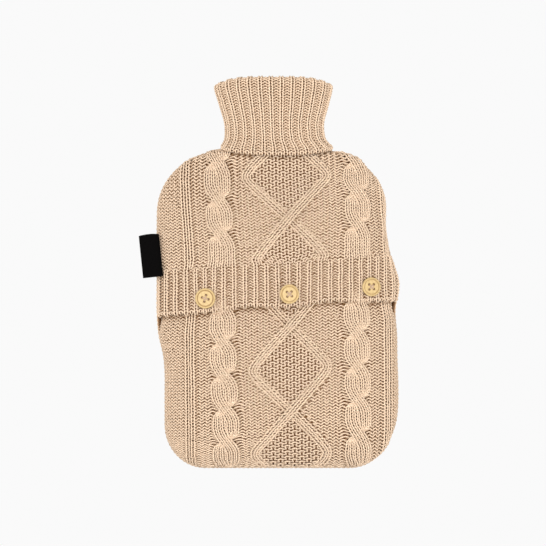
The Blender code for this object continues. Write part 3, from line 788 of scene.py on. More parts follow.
class YarnMesh:
    """Collects yarns of equal length as tubes and makes one mesh of them."""

    def __init__(self, sides=YARN_SIDES, radius=YARN_RADIUS, closed=False):
        self.sides = sides
        self.radius = radius
        self.closed = closed
        self.points = []
        self.normals = []
        self.painted_shade_depths = []
        self.shown = []

    def add(self, points, normals, painted_shade_depths, shown=None):
        """One yarn: its points, the skin's normals there, how far forward it counts in painted shade,
        what shows.
        """
        self.points.append(points)
        self.normals.append(normals)
        self.painted_shade_depths.append(painted_shade_depths)
        self.shown.append(np.ones(len(points), bool) if shown is None else shown)

    def build(self, name, material, picked=slice(None)):
        """One object of the picked yarns."""
        points, normals, painted_shade_depths, shown = (
            np.array(kept[picked])
            for kept in (self.points, self.normals, self.painted_shade_depths, self.shown))
        if self.closed:
            points, normals, painted_shade_depths, shown = (
                np.concatenate([kept, kept[:, :1]], axis=1)
                for kept in (points, normals, painted_shade_depths, shown))
        ahead = np.gradient(points, axis=1)
        if self.closed:
            ahead[:, 0] = ahead[:, -1] = points[:, 1] - points[:, -2]
        aside = np.cross(ahead, normals)
        aside /= np.maximum(np.linalg.norm(aside, axis=-1, keepdims=True), 1e-9)
        up = np.cross(aside, ahead)
        up /= np.maximum(np.linalg.norm(up, axis=-1, keepdims=True), 1e-9)
        turn = np.linspace(0.0, 2 * pi, self.sides, endpoint=False)
        ring = (aside[:, :, None] * np.cos(turn)[:, None] + up[:, :, None] * np.sin(turn)[:, None])
        places = points[:, :, None] + self.radius * ring
        # painted shade: the yarn is darker the further back it lies, kept in a map for its material
        forward = painted_shade_depths[:, :, None] + self.radius * (ring * normals[:, :, None]).sum(-1)
        painted_nook_shade = np.clip(0.5 - 0.5 * forward / (LOOP_DEPTH + self.radius), 0.0, 1.0)
        count, length, sides = places.shape[:3]
        index = np.arange(count * length * sides).reshape(count, length, sides)
        around = np.roll(index, -1, axis=2)
        quads = np.stack([index[:, :-1], index[:, 1:], around[:, 1:], around[:, :-1]], axis=-1)
        keep = (shown[:, :-1] | shown[:, 1:])[:, :, None] & np.ones(sides, bool)
        run = np.linalg.norm(np.diff(points, axis=1), axis=-1)
        run = np.concatenate([np.zeros((count, 1)), np.cumsum(run, axis=1)], axis=1)
        along = np.stack([run[:, :-1], run[:, 1:], run[:, 1:], run[:, :-1]], axis=-1)
        along = np.repeat(along[:, :, None], sides, axis=2)
        side = np.arange(sides)
        girth = np.stack([side, side, side + 1, side + 1], axis=-1) / sides
        girth = np.broadcast_to(girth, (count, length - 1, sides, 4))
        twist = np.stack([along, girth], axis=-1)
        share = along / np.maximum(run[:, -1].max(), 1e-9)
        lane = (np.arange(count)[:, None, None, None] + 0.08 + 0.84 * girth) / count
        bake = np.stack([share, np.broadcast_to(lane, share.shape)], axis=-1)
        quads = quads[keep]
        painted_shade_per_corner = painted_nook_shade.reshape(-1)[quads]
        return mesh_object(name, places.reshape(-1, 3), quads, material,
                           {"Yarn": twist[keep], "OFBake": bake[keep],
                            "Nook": np.stack([painted_shade_per_corner, painted_shade_per_corner], axis=-1)})

    def build_two(self, first, second, split, material):
        """The yarns up to a course, and the others, as two objects."""
        return [self.build(first, material, slice(0, split)),
                self.build(second, material, slice(split, None))]


def placed(name, data):
    """A new object in the scene."""
    made = bpy.data.objects.new(name, data)
    bpy.context.scene.collection.objects.link(made)
    return made


def mesh_object(name, places, quads, material, maps=None):
    """A smooth mesh object of four-sided faces; places are in millimetres."""
    used = np.unique(quads)
    renumber = np.zeros(len(places), int)
    renumber[used] = np.arange(len(used))
    places = (places[used] + np.array([MIDDLE_X, 0.0, 0.0])) * MM
    quads = renumber[quads]
    mesh = bpy.data.meshes.new(name)
    mesh.vertices.add(len(places))
    mesh.vertices.foreach_set("co", places.astype(np.float32).ravel())
    mesh.loops.add(quads.size)
    mesh.loops.foreach_set("vertex_index", quads.astype(np.int32).ravel())
    mesh.polygons.add(len(quads))
    mesh.polygons.foreach_set("loop_start", np.arange(0, quads.size, 4, dtype=np.int32))
    mesh.polygons.foreach_set("loop_total", np.full(len(quads), 4, np.int32))
    mesh.update(calc_edges=True)
    for key, values in (maps or {}).items():
        layer = mesh.uv_layers.new(name=key)
        layer.data.foreach_set("uv", values.astype(np.float32).ravel())
    mesh.validate()
    mesh.shade_smooth()
    mesh.materials.append(material)
    return placed(name, mesh)


def draw_in(points):
    """The cloth sinks and draws in round each button."""
    for _, x, y, _, _ in BUTTONS:
        away = np.hypot(points[..., 0] - x, points[..., 1] - y)
        near = np.exp(-(away / DIMPLE_REACH) ** 2)[..., None]
        pull = np.stack([x - points[..., 0], y - points[..., 1],
                         np.full_like(away, -DIMPLE_DEPTH / DIMPLE_PULL)], axis=-1)
        points = points + pull * near * DIMPLE_PULL
    return points


def row_slope(level):
    """Rows rise to the right in the cover's middle and lie level at its ends."""
    foot = smooth_step(level, FOOT_Y, LEVEL_BELOW_Y)
    return ROW_SLOPE * foot * smooth_step(-level, -LEVEL_ABOVE_Y, -LEVEL_FROM_Y)


def edge_rise(x, level):
    """Between its buttons the flap's edge is drawn up."""
    places = [place[1] for place in BUTTONS]
    share = np.interp(x, places, range(len(places)))
    return EDGE_RISE * np.sin(pi * share) ** 2 * (1 - smooth_step(level, BAND_LOW_Y, BAND_HIGH_Y))


def set_on_rows(surface, level, has_band, share_at):
    """Heights of places on the chart's sloping rows; share_at says how far across they are."""
    y = level.copy()
    for _ in range(3):
        place, _ = surface.read(share_at(y), y)
        y = level + row_slope(level) * (place[..., 0] - CHART_X)
        if has_band:
            y = y + edge_rise(place[..., 0], level)
    return y


def knit_front(surface, climbs, crossings, seed, has_band):
    """The courses of a front panel, at the given distances up its middle."""
    lines = wale_lines(surface, ("left_strip", "left_cable", "lattice", "right_cable",
                                 "right_strip"))
    lift = loop_path(LOOP_STEPS)[1]
    jitter = uneven((len(climbs), 3, WALES), seed)
    courses = []
    for number, climb in enumerate(climbs):
        own_level = float(surface.level_at(climb))
        tall = np.ones(WALES)
        for _ in range(2):  # the loops' own heights follow from the first look
            level = surface.level_at(climb + lift[:, None] * LOOP_HEIGHT * tall)
            y = level if tall.max() == 1.0 else y
            course = Course(y, (crossings["y"] - level) / COURSE,
                            (crossings["y"] - own_level) / COURSE, number, crossings, lines)
            course.pattern()
            if has_band:
                course.ribbing((level - BAND_HIGH_Y) / COURSE, own_level < BAND_HIGH_Y)
            y = set_on_rows(surface, level, has_band,
                            lambda y: course.along / surface.length_at(y))
            tall = np.where(course.knit < 0, PURL_STRETCH, 1.0)
        course.level = level
        course.along += jitter[number, 0]
        course.length = surface.length_at(y)
        course.y = y + jitter[number, 1]
        course.rough = jitter[number, 2] * ROUGHNESS
        courses.append(course)
    return courses


def one_run(values):
    """Puts a course's steps in the order in which the yarn passes them."""
    return np.swapaxes(values, 0, 1).reshape((-1,) + values.shape[2:])


def raised(surface, share, level, high, past_edge):
    """Points over the cloth's middle and the way they face; past its edge the cloth rolls in."""
    past = np.maximum(past_edge, 0.0)
    place, normal = surface.read(share, level + past)
    turn = (past / EDGE_ROLL)[..., None]
    facing = normal * np.cos(turn) + DOWN * np.sin(turn)
    middle = place + normal * (CLOTH_MIDDLE - EDGE_ROLL)
    return middle + facing * (EDGE_ROLL + high)[..., None], facing


def under_edge(points, level, is_lower):
    """Painted shadow: how close under the flap's or the collar's free edge places lie, up to 1."""
    if is_lower:
        edge = BAND_LOW_Y + edge_rise(points[..., 0], BAND_LOW_Y)
        return 1 - smooth_step(edge - level, EDGE_SHADE_START, FLAP_SHADE_END)
    out = np.clip((points[..., 0] - NECK_X) / COLLAR["half"][0], -1.0, 1.0)
    edge = FOOT_SIDE_Y - FOOT_FRONT_DROP * (1 - out ** 2)
    return 1 - smooth_step(edge - points[..., 1], EDGE_SHADE_START, COLLAR_SHADE_END)


def within_seams(along, length):
    """Which steps of a yarn lie on its panel; the others aren't built."""
    return (along > -SEAM_REACH) & (along < length + SEAM_REACH)


def lay_courses(courses, surface, yarn, sink=None, edge=-1e3):
    """Lays each course's yarn on the surface; the cloth's free edge rolls in below a level."""
    for number, course in enumerate(courses):
        above = courses[min(number + 1, len(courses) - 1)].knit
        depth = loop_depths(course.knit, above, LOOP_STEPS, False)
        height = course.height * smooth_step(course.level, FOOT_Y, FOOT_Y + FOOT_FADE)
        high = spread_heights(height, LOOP_STEPS, False) + depth + course.rough
        if sink is not None:
            high = high - sink(course.level)
        points, facing = raised(surface, course.along / course.length, course.y, high,
                                edge - course.level)
        inside = within_seams(course.along, course.length)
        # painted shade: deeper steps are darker, raised ones lighter, and painted shadow falls under
        # free edges
        shade = depth + RELIEF_SHADE * np.minimum(height, HIGHEST_SHADE)
        shade = shade + RAISED_LIGHT * smooth_step(height, MOSS_HEIGHT / 3, MOSS_HEIGHT)
        shade = shade + CORD_LIGHT * smooth_step(height, STRIP_HEIGHT, BAND_HEIGHT)
        shade = shade - EDGE_SHADE * under_edge(points, course.level, sink is not None)
        yarn.add(draw_in(one_run(points)), one_run(facing), one_run(shade), one_run(inside))


def knit_back(surface, yarn):
    """Lays the back's plain courses, and returns how many there are."""
    lines = wale_lines(surface, ())
    start = surface.climb_at(FOOT_Y) + BACK_START
    climbs = np.arange(start, surface.climb_at(PANEL_TOP_Y), BACK_COURSE)
    across, lift, _, _, _ = loop_path(PLAIN_STEPS)
    knit = np.ones(BACK_WALES)
    depth = loop_depths(knit, knit, PLAIN_STEPS, False)
    jitter = uneven((len(climbs), 2, BACK_WALES), 3)
    share = (np.arange(BACK_WALES) + across[:, None]) / BACK_WALES
    for number, climb in enumerate(climbs):
        y = surface.level_at(climb + lift * BACK_LOOP * LOOP_HEIGHT)[:, None] * knit
        left, right = lines(y)
        along = left + (right - left) * share + jitter[number, 0]
        length = surface.length_at(y)
        place, normal = surface.read(along / length, y + jitter[number, 1])
        points = place + normal * (CLOTH_MIDDLE + depth)[..., None]
        # the loops' depths also set their painted shade
        yarn.add(one_run(points), one_run(normal), one_run(depth),
                 one_run(within_seams(along, length)))
    return len(climbs)


def knit_collar(surface, outside, inside):
    """Lays the collar's ribbed courses: the outer layer and its fold, then the inner layer."""
    levels = np.arange(EDGE_START - EDGE_TUCK + COLLAR_LOOP * LOOP_HEIGHT,
                       surface.levels[-1] - LOOP_HEIGHT, COLLAR_COURSE)
    across, lift, _, _, _ = loop_path(LOOP_STEPS)
    ones = np.ones(COLLAR_WALES)
    knit = np.where(np.arange(COLLAR_WALES) % 2 == 1, ones, -ones)
    ribs = COLLAR_RIBS * np.where(knit > 0, RIB_HEIGHT, -RIB_DEPTH)
    ribs = ribs * np.ones((len(LOOP_STEPS), 1))
    jitter = uneven((len(levels), 2, COLLAR_WALES), 4)
    share = (rib_places(np.arange(COLLAR_WALES) + across[:, None]) - 0.5) / COLLAR_WALES
    for number, own in enumerate(levels):
        level = (own + lift * LOOP_HEIGHT * COLLAR_LOOP)[:, None] + jitter[number, 1]
        depth = loop_depths(knit if number else ones, knit, LOOP_STEPS, True, COLLAR_PURL_LEG)
        high = depth + spread_heights(ribs if number else 0 * ribs, LOOP_STEPS, True)
        points, facing = raised(surface, share + jitter[number, 0] / COLLAR_GIRTH, level, high,
                                EDGE_START - level)
        # painted shade: deeper steps and the ribs' troughs are darker
        shaded = depth + RELIEF_SHADE * np.minimum(ribs, HIGHEST_SHADE)
        yarn = outside if own < COLLAR_HEIGHT + 2 * COLLAR_FOLD else inside
        yarn.add(one_run(points), one_run(facing), one_run(shaded))


def lay_seam(yarn):
    """Twists two yarns along the outline, down its left side, along the foot and up again."""
    heights = body_heights()
    left = np.stack([left_edge(heights), heights], axis=1)[::-1]
    right = np.stack([right_edge(heights), heights], axis=1)
    line = np.concatenate([left, right])
    run = np.concatenate([[0.0], np.cumsum(np.linalg.norm(np.diff(line, axis=0), axis=1))])
    even = np.arange(0.0, run[-1], SEAM_STEP)
    place = np.stack([np.interp(even, run, line[:, 0]), np.interp(even, run, line[:, 1]),
                      np.full_like(even, SEAM_Z)], axis=1)
    ahead = np.gradient(place, axis=0)
    ahead /= np.linalg.norm(ahead, axis=1, keepdims=True)
    out = np.cross(ahead, UP)
    for start in (0.0, pi):
        turn = (start + 2 * pi * even / SEAM_TURN)[:, None]
        aside = out * np.cos(turn) + UP * np.sin(turn)
        # the third value is the yarns' painted shade, lighter where the twist turns them outwards
        yarn.add(place - SEAM_INSET * out + SEAM_RADIUS * aside, out,
                 SEAM_SHADE * np.cos(turn[:, 0]))


def closed_sheet(place, normal, thickness, closed=False):
    """Places and faces of a thin sheet with an outer side, an inner side and its rims."""
    rows, columns = place.shape[:2]
    outer = np.arange(rows * columns).reshape(rows, columns)
    if closed:
        outer[:, -1] = outer[:, 0]
    inner = outer + rows * columns
    faces = [
        (outer[:-1, :-1], outer[:-1, 1:], outer[1:, 1:], outer[1:, :-1]),
        (inner[:-1, :-1], inner[1:, :-1], inner[1:, 1:], inner[:-1, 1:]),
        (outer[0, 1:], outer[0, :-1], inner[0, :-1], inner[0, 1:]),
        (outer[-1, :-1], outer[-1, 1:], inner[-1, 1:], inner[-1, :-1]),
    ]
    if not closed:
        faces.append((outer[:-1, 0], outer[1:, 0], inner[1:, 0], inner[:-1, 0]))
        faces.append((outer[1:, -1], outer[:-1, -1], inner[:-1, -1], inner[1:, -1]))
    quads = np.concatenate([np.stack(face, axis=-1).reshape(-1, 4) for face in faces])
    return np.concatenate([place, place - normal * thickness]).reshape(-1, 3), quads


def backing(name, surface, share, level, material, depth=BACKING_DEPTH, closed=False):
    """A thin closed sheet under the yarn; its colour is painted shade, seen between the stitches."""
    place, normal = surface.read(share, level)
    place = place - normal * np.broadcast_to(depth, level.shape)[..., None]
    places, quads = closed_sheet(place, normal, BACKING_THICKNESS, closed)
    if surface.inside_out:
        quads = quads[:, ::-1]
    return mesh_object(name, places, quads, material)


def front_backing(name, surface, rows, has_band, material, sink=None):
    """The backing of a front panel, whose rows slope like its courses."""
    share, level = sheet_grid(PANEL_COLUMNS, rows)
    y = set_on_rows(surface, level, has_band, lambda y: share)
    depth = BACKING_DEPTH + (sink(level) if sink is not None else 0.0)
    return backing(name, surface, share, y, material, depth)


def sheet_grid(columns, rows):
    """Shares across and levels of a sheet's grid, from stretches of even rows."""
    levels = np.concatenate([np.linspace(*stretch) for stretch in rows])
    return np.meshgrid(np.linspace(0.0, 1.0, columns), levels)


def stands_for(piece, slot, *nodes):
    """Attaches a piece to the root body and hides the solids that it takes the place of; the slot is
    not used.
    """
    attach(piece, "root")
    if nodes:
        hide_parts(*nodes)


def cloth_of(sheet, node, yarns):
    """Attaches a backing and its yarns to the root body, and hides the solid that they take the place
    of.
    """
    stands_for(sheet, "yarn", node)
    for piece in yarns:
        stands_for(piece, "yarn")


# ---------------------------------------------------------------- finishes


def put(tree, socket, value):
    """Links a socket to another, or gives it a value."""
    if isinstance(value, bpy.types.NodeSocket):
        tree.links.new(value, socket)
    else:
        socket.default_value = value


def fill(tree, node, **values):
    """Gives a node's named inputs their values or links; returns the node."""
    for label, value in values.items():
        put(tree, node.inputs[label.replace("_", " ")], value)
    return node


def new_node(tree, kind, **values):
    return fill(tree, tree.nodes.new("ShaderNode" + kind), **values)


def math_node(tree, operation, first, second=None, clamp=False):
    """A Math node whose inputs are sockets or numbers; returns its output."""
    node = new_node(tree, "Math")
    node.operation = operation
    node.use_clamp = clamp
    put(tree, node.inputs[0], first)
    if second is not None:
        put(tree, node.inputs[1], second)
    return node.outputs[0]


def uneven_shade():
    """A node group of fine differences of shade over a surface, made once."""
    group = bpy.data.node_groups.get("Uneven shade")
    if group is None:
        group = bpy.data.node_groups.new("Uneven shade", "ShaderNodeTree")
        size = group.interface.new_socket("Size", in_out="INPUT", socket_type="NodeSocketFloat")
        size.default_value = 900.0
        group.interface.new_socket("Shade", in_out="OUTPUT", socket_type="NodeSocketFloat")
        given = group.nodes.new("NodeGroupInput")
        result = group.nodes.new("NodeGroupOutput")
        place = new_node(group, "TexCoord").outputs["Object"]
        noise = new_node(group, "TexNoise", Vector=place, Scale=given.outputs["Size"], Detail=3.0)
        group.links.new(noise.outputs["Fac"], result.inputs["Shade"])
    return group


def shade(tree, size):
    """The shared uneven shade, placed in a material; returns its output."""
    node = new_node(tree, "Group")
    node.node_tree = uneven_shade()
    return fill(tree, node, Size=size).outputs["Shade"]


def shade_mix(tree, factor, low, high):
    """A colour between two, by a factor socket; returns its output."""
    mix = new_node(tree, "Mix")
    mix.data_type = "RGBA"
    return fill(tree, mix, Factor=factor, A=(*low, 1.0), B=(*high, 1.0)).outputs["Result"]


def read_map(tree, name):
    """A UV map's places; returns their output."""
    node = new_node(tree, "UVMap")
    node.uv_map = name
    return node.outputs["UV"]


def new_material(name, **finish):
    """A material with its finish set on its shader's own sockets."""
    material = bpy.data.materials.new(name)
    material.use_nodes = True
    tree = material.node_tree
    shader = tree.nodes["Principled BSDF"]
    finish = {"Specular_IOR_Level": 0.25, "Sheen_Roughness": 0.4, **finish}
    return material, tree, fill(tree, shader, **finish)


def colour_and_bump(tree, shader, colour, height, distance, strength):
    """Gives the shader its colour and the small forms of its surface."""
    raised = new_node(tree, "Bump", Height=height, Distance=distance * MM, Strength=strength)
    fill(tree, shader, Base_Color=colour, Normal=raised.outputs["Normal"])


def by_channel(colour, factors):
    return [channel * factor for channel, factor in zip(colour, factors)]


def yarn_material(name, colour, depth):
    """Soft plied yarn: fuzzy, with painted shade between its plies and in the knitting's nooks."""
    material, tree, shader = new_material(name, Roughness=0.85, Sheen_Weight=0.35,
                                          Sheen_Tint=(*colour, 1.0))
    calc = partial(math_node, tree)
    along, girth, _ = new_node(tree, "SeparateXYZ", Vector=read_map(tree, "Yarn")).outputs
    # painted shade: darker in the grooves between the plies
    turned = calc("ADD", calc("DIVIDE", along, YARN_LAY), girth)
    crown = calc("ABSOLUTE", calc("SINE", calc("MULTIPLY", turned, YARN_PLIES * pi)))
    tone_and_painted_shade = calc("MULTIPLY", crown, calc("ADD", shade(tree, 1400.0), 0.5))
    # painted shade: darker the further back the yarn lies in the knitting
    inward = new_node(tree, "SeparateXYZ", Vector=read_map(tree, "Nook")).outputs[0]
    bright = calc("MULTIPLY", calc("SUBTRACT", NOOK_END, inward), 1 / (NOOK_END - NOOK_START),
                  clamp=True)
    tone_and_painted_shade = calc("MULTIPLY", tone_and_painted_shade, bright)
    colours = shade_mix(tree, tone_and_painted_shade, by_channel(colour, depth), colour)
    colour_and_bump(tree, shader, colours, crown, 0.12, 0.6)
    return material


def backing_material(name, colour):
    """Painted shade for the sheet under the knitting, seen between the stitches."""
    material, tree, shader = new_material(name, Roughness=0.95)
    darker = by_channel(colour, [0.75] * 3)
    fill(tree, shader, Base_Color=shade_mix(tree, shade(tree, 700.0), darker, colour))
    return material


def wood_material(colour, dark):
    """Pale turned wood: straight grain under a satin varnish, with painted shade in its groove and
    holes.
    """
    material, tree, shader = new_material("wood", Roughness=0.42, Coat_Weight=0.05,
                                          Coat_Roughness=0.3)
    calc = partial(math_node, tree)
    place = new_node(tree, "TexCoord").outputs["Object"]
    fibres = new_node(tree, "Mapping", Vector=place, Scale=(300.0, 1500.0, 300.0)).outputs[0]
    grain = new_node(tree, "TexNoise", Vector=fibres, Scale=1.0, Detail=4.0).outputs["Fac"]
    lined = calc("MULTIPLY", calc("SUBTRACT", grain, 0.45), 1.2, clamp=True)
    length = new_node(tree, "VectorMath", Vector=place)
    length.operation = "LENGTH"
    away = calc("DIVIDE", length.outputs["Value"], MM)
    high = calc("DIVIDE", new_node(tree, "SeparateXYZ", Vector=place).outputs[2], MM)
    # painted shade in the groove and on the holes' floors
    from_groove = calc("ABSOLUTE", calc("SUBTRACT", away, BUTTON_GROOVE))
    groove = calc("SUBTRACT", GROOVE_WIDTH, from_groove, clamp=True)
    near = calc("SUBTRACT", HOLES_REACH, away, clamp=True)
    low = calc("SUBTRACT", HOLE_FLOOR + HOLE_SHADE_RISE, high, clamp=True)
    painted_recess_shade = calc("MAXIMUM", groove, calc("MULTIPLY", near, low))
    clear_of_grain_and_shade = calc("MULTIPLY", calc("SUBTRACT", 1.0, painted_recess_shade), calc("SUBTRACT", 1.0, lined))
    colour_and_bump(tree, shader, shade_mix(tree, clear_of_grain_and_shade, dark, colour), grain, 0.05, 0.4)
    return material


def ribbon_material(colour):
    """Black woven ribbon: fine crossing threads, with painted shade between them."""
    material, tree, shader = new_material("ribbon", Roughness=0.9, Specular_IOR_Level=0.02)
    weave = new_node(tree, "TexBrick", Vector=read_map(tree, "Weave"), Scale=1.0,
                     Mortar_Size=0.18, Mortar_Smooth=1.0, Brick_Width=1.0, Row_Height=0.6)
    weave.offset = 0.5
    raised = math_node(tree, "SUBTRACT", 1.0, weave.outputs["Fac"])
    # painted shade: darker between the threads
    woven = shade_mix(tree, raised, by_channel(colour, [0.4] * 3), colour)
    colour_and_bump(tree, shader, woven, raised, 0.1, 0.7)
    return material


# ---------------------------------------------------------------- what a user may change


COLOUR = {"subtype": "COLOR", "size": 3, "min": 0.0, "max": 1.0}
LENGTH = {"subtype": "DISTANCE", "unit": "LENGTH"}


class YarnSettings(PropertyGroup):
    """Colour and cloth of the knitting."""

    colour: FloatVectorProperty(
        name="Yarn colour", description="Colour of the yarn where light falls on it",
        default=(0.75, 0.59, 0.44), **COLOUR)
    # painted shade: the yarn's colour is multiplied by these in its nooks and between its plies
    depth: FloatVectorProperty(
        name="Groove shade", description="How much of each channel is left in the grooves",
        size=3, min=0.0, max=1.0, default=(0.25, 0.155, 0.075))
    # painted shade: the backings show this colour between the stitches
    inner: FloatVectorProperty(
        name="Inner colour", description="Colour of the cloth seen between the stitches",
        default=(0.13, 0.05, 0.013), **COLOUR)
    radius: FloatProperty(
        name="Yarn radius", description="Half the thickness of the yarn",
        default=YARN_RADIUS * MM, min=0.0004, max=0.002, **LENGTH)
    sides: IntProperty(
        name="Sides", description="Flat sides round one yarn", default=YARN_SIDES, min=3, max=8)


class FittingSettings(PropertyGroup):
    """Colours of the buttons, their thread and the label."""

    wood: FloatVectorProperty(
        name="Wood", description="Colour of the buttons' wood",
        default=(0.44, 0.315, 0.145), **COLOUR)
    # also the colour of the painted shade in the buttons' groove and holes
    grain: FloatVectorProperty(
        name="Grain", description="Colour of the darker grain",
        default=(0.17, 0.085, 0.025), **COLOUR)
    thread: FloatVectorProperty(
        name="Thread", description="Colour of the thread that holds the buttons",
        default=(0.42, 0.29, 0.20), **COLOUR)
    ribbon: FloatVectorProperty(
        name="Ribbon", description="Colour of the side label",
        default=(0.0025, 0.0022, 0.0022), **COLOUR)


class StageSettings(PropertyGroup):
    """The floor, the lights and the camera."""

    floor_shade: FloatProperty(
        name="Floor shade", description="Brightness of the pale floor",
        default=0.955, min=0.0, max=1.0)
    camera_height: FloatProperty(
        name="Camera height", description="Height of the camera over the floor",
        default=2.6, min=0.5, max=10.0, **LENGTH)
    view_width: FloatProperty(
        name="View width", description="Width of the picture at the seam's height",
        default=0.5023, min=0.1, max=2.0, **LENGTH)
    key: FloatProperty(
        name="Key light", description="Power of the large light overhead",
        default=27.6, min=0.0, max=200.0, subtype="POWER", unit="POWER")
    sky: FloatProperty(
        name="Surroundings", description="Strength of the light from all round",
        default=0.35, min=0.0, max=5.0)


# ---------------------------------------------------------------- the pieces


def cover_yarn(context):
    """The yarn's finish, made once."""
    settings = context.scene.cover_yarn
    return bpy.data.materials.get("cover_yarn") or yarn_material(
        "cover_yarn", settings.colour, settings.depth)


def painted_shade_backing(context):
    """The backings' finish, painted shade, made once."""
    return bpy.data.materials.get("painted_shade_backing") or backing_material(
        "painted_shade_backing", context.scene.cover_yarn.inner)


def new_yarn(context, closed=False, sides=None):
    settings = context.scene.cover_yarn
    return YarnMesh(sides or settings.sides, settings.radius / MM, closed)


def under_flap(level):
    """How far the lower front lies under its own skin, where the flap covers it."""
    return (CLOTH + UNDERLAP_GAP) * (1 - smooth_step(BAND_LOW_Y - level, UNDERLAP_START, UNDERLAP_END))


class COVER_OT_lower_front(Operator):
    """Knits the lower front, from the foot seam to under the flap"""

    bl_idname = "bottle_cover.lower_front"
    bl_label = "Knit the lower front"

    def execute(self, context):
        surface = body_surface(True)
        start = surface.climb_at(FOOT_Y) + FRONT_START
        end = surface.climb_at(BAND_LOW_Y) + HIDDEN_COURSES * COURSE
        courses = knit_front(surface, np.arange(start, end, COURSE), LOWER_CROSSINGS, 5, False)
        yarn = new_yarn(context)
        lay_courses(courses, surface, yarn, under_flap)
        pieces = yarn.build_two("lower_stitches_foot", "lower_stitches_top", len(courses) // 2,
                                cover_yarn(context))
        sheet = front_backing("lower_cloth", surface, LOWER_ROWS, False, painted_shade_backing(context),
                              under_flap)
        cloth_of(sheet, "front_lower", pieces)
        return {"FINISHED"}


class COVER_OT_flap(Operator):
    """Knits the flap: its ribbed band, and the chart from there to the neck"""

    bl_idname = "bottle_cover.flap"
    bl_label = "Knit the flap"

    def execute(self, context):
        surface = body_surface(True)
        edge = BAND_LOW_Y + EDGE_START
        start = surface.climb_at(edge) - EDGE_TUCK + LOOP_HEIGHT
        climbs = np.arange(start, surface.climb_at(PANEL_TOP_Y), COURSE)
        courses = knit_front(surface, climbs, FLAP_CROSSINGS, 8, True)
        yarn = new_yarn(context)
        lay_courses(courses, surface, yarn, edge=edge)
        band = int((climbs < surface.climb_at(BAND_HIGH_Y)).sum())
        pieces = yarn.build_two("band_stitches", "flap_stitches", band, cover_yarn(context))
        sheet = front_backing("flap_cloth", surface, FLAP_ROWS, True, painted_shade_backing(context))
        cloth_of(sheet, "front_flap", pieces)
        return {"FINISHED"}


class COVER_OT_back(Operator):
    """Knits the back panel in plain knit"""

    bl_idname = "bottle_cover.back"
    bl_label = "Knit the back"

    def execute(self, context):
        surface = body_surface(False)
        yarn = new_yarn(context, sides=HIDDEN_SIDES)
        count = knit_back(surface, yarn)
        seam = new_yarn(context)
        lay_seam(seam)
        material = cover_yarn(context)
        pieces = yarn.build_two("back_stitches_foot", "back_stitches_top", count // 2, material)
        pieces.append(seam.build("seam_yarns", material))
        share, level = sheet_grid(BACK_COLUMNS, BACK_ROWS)
        sheet = backing("back_cloth", surface, share, level, painted_shade_backing(context))
        cloth_of(sheet, "back_panel", pieces)
        return {"FINISHED"}


class COVER_OT_collar(Operator):
    """Knits the ribbed collar, up outside, over its fold and down inside"""

    bl_idname = "bottle_cover.collar"
    bl_label = "Knit the collar"

    def execute(self, context):
        surface = collar_surface()
        outside = new_yarn(context, closed=True)
        inside = new_yarn(context, closed=True, sides=HIDDEN_SIDES)
        knit_collar(surface, outside, inside)
        material = cover_yarn(context)
        pieces = [outside.build("collar_stitches", material),
                  inside.build("collar_inner_stitches", material)]
        rows = np.concatenate([np.linspace(EDGE_START, COLLAR_HEIGHT, 24),
                               surface.levels[OUTER_ROWS:]])
        share, level = np.meshgrid(np.linspace(0.0, 1.0, COLLAR_COLUMNS), rows)
        sheet = backing("collar_cloth", surface, share, level, painted_shade_backing(context), closed=True)
        cloth_of(sheet, "collar", pieces)
        return {"FINISHED"}


def button_seat(surface, x, y):
    """Place and turning of something that rests on the flap at x, y."""
    share, level = np.meshgrid(np.linspace(0.0, 1.0, 481), np.arange(y - 6.0, y + 6.1, 1.0))
    points, normals = surface.read(share, level)
    nearest = np.argmin(np.hypot(points[..., 0] - x, points[..., 1] - y))
    j, i = np.unravel_index(nearest, level.shape)
    normal = Vector(normals[j, i])
    place = (Vector(points[j, i]) + normal * BUTTON_SEAT + Vector((MIDDLE_X, 0, 0))) * MM
    return Matrix.Translation(place) @ normal.to_track_quat("Z", "Y").to_matrix().to_4x4()


def seated(name, mesh, seat):
    """An object of a mesh that was built round the origin, in its place."""
    data = bpy.data.meshes.new(name)
    mesh.to_mesh(data)
    mesh.free()
    made = placed(name, data)
    made.matrix_world = seat
    return made


def turned_button(name, radius, seat, material):
    """A turned disc with a rounded rim, a groove inside it, a dished middle and four holes."""
    top = BUTTON_THICKNESS
    profile = (
        (0.0, top - 0.9), (radius - 4.6, top - 0.85), (radius - 3.0, top - 0.6),
        (radius - 2.3, top - 0.75), (radius - 2.1, top - 1.3), (radius - 1.7, top - 1.3),
        (radius - 1.5, top - 0.15), (radius - 1.1, top), (radius - 0.6, top - 0.12),
        (radius - 0.2, top - 0.5), (radius, top - 1.1), (radius, 1.2),
        (radius - 0.4, 0.5), (radius - 1.2, 0.0), (0.0, 0.0),
    )
    mesh = bmesh.new()
    chain = [mesh.verts.new((out * MM, 0.0, high * MM)) for out, high in profile]
    edges = [mesh.edges.new(pair) for pair in zip(chain[:-1], chain[1:])]
    bmesh.ops.spin(mesh, geom=chain + edges, cent=(0, 0, 0), axis=(0, 0, 1), angle=2 * pi,
                   steps=64, use_merge=True)
    bmesh.ops.remove_doubles(mesh, verts=mesh.verts, dist=0.01 * MM)
    bmesh.ops.recalc_face_normals(mesh, faces=mesh.faces)
    button = seated(name, mesh, seat)
    button.data.materials.append(material)
    button.data.shade_smooth()
    return button


def hole_cutter(seat):
    """Four round holes, as one cutter."""
    mesh = bmesh.new()
    for x in (-HOLE_OFFSET, HOLE_OFFSET):
        for y in (-HOLE_OFFSET, HOLE_OFFSET):
            at = Matrix.Translation(Vector((x, y, HOLE_FLOOR + BUTTON_THICKNESS / 2)) * MM)
            bmesh.ops.create_cone(mesh, cap_ends=True, segments=20, radius1=HOLE_RADIUS * MM,
                                  radius2=HOLE_RADIUS * MM, depth=BUTTON_THICKNESS * MM,
                                  matrix=at)
    return seated("holes", mesh, seat)


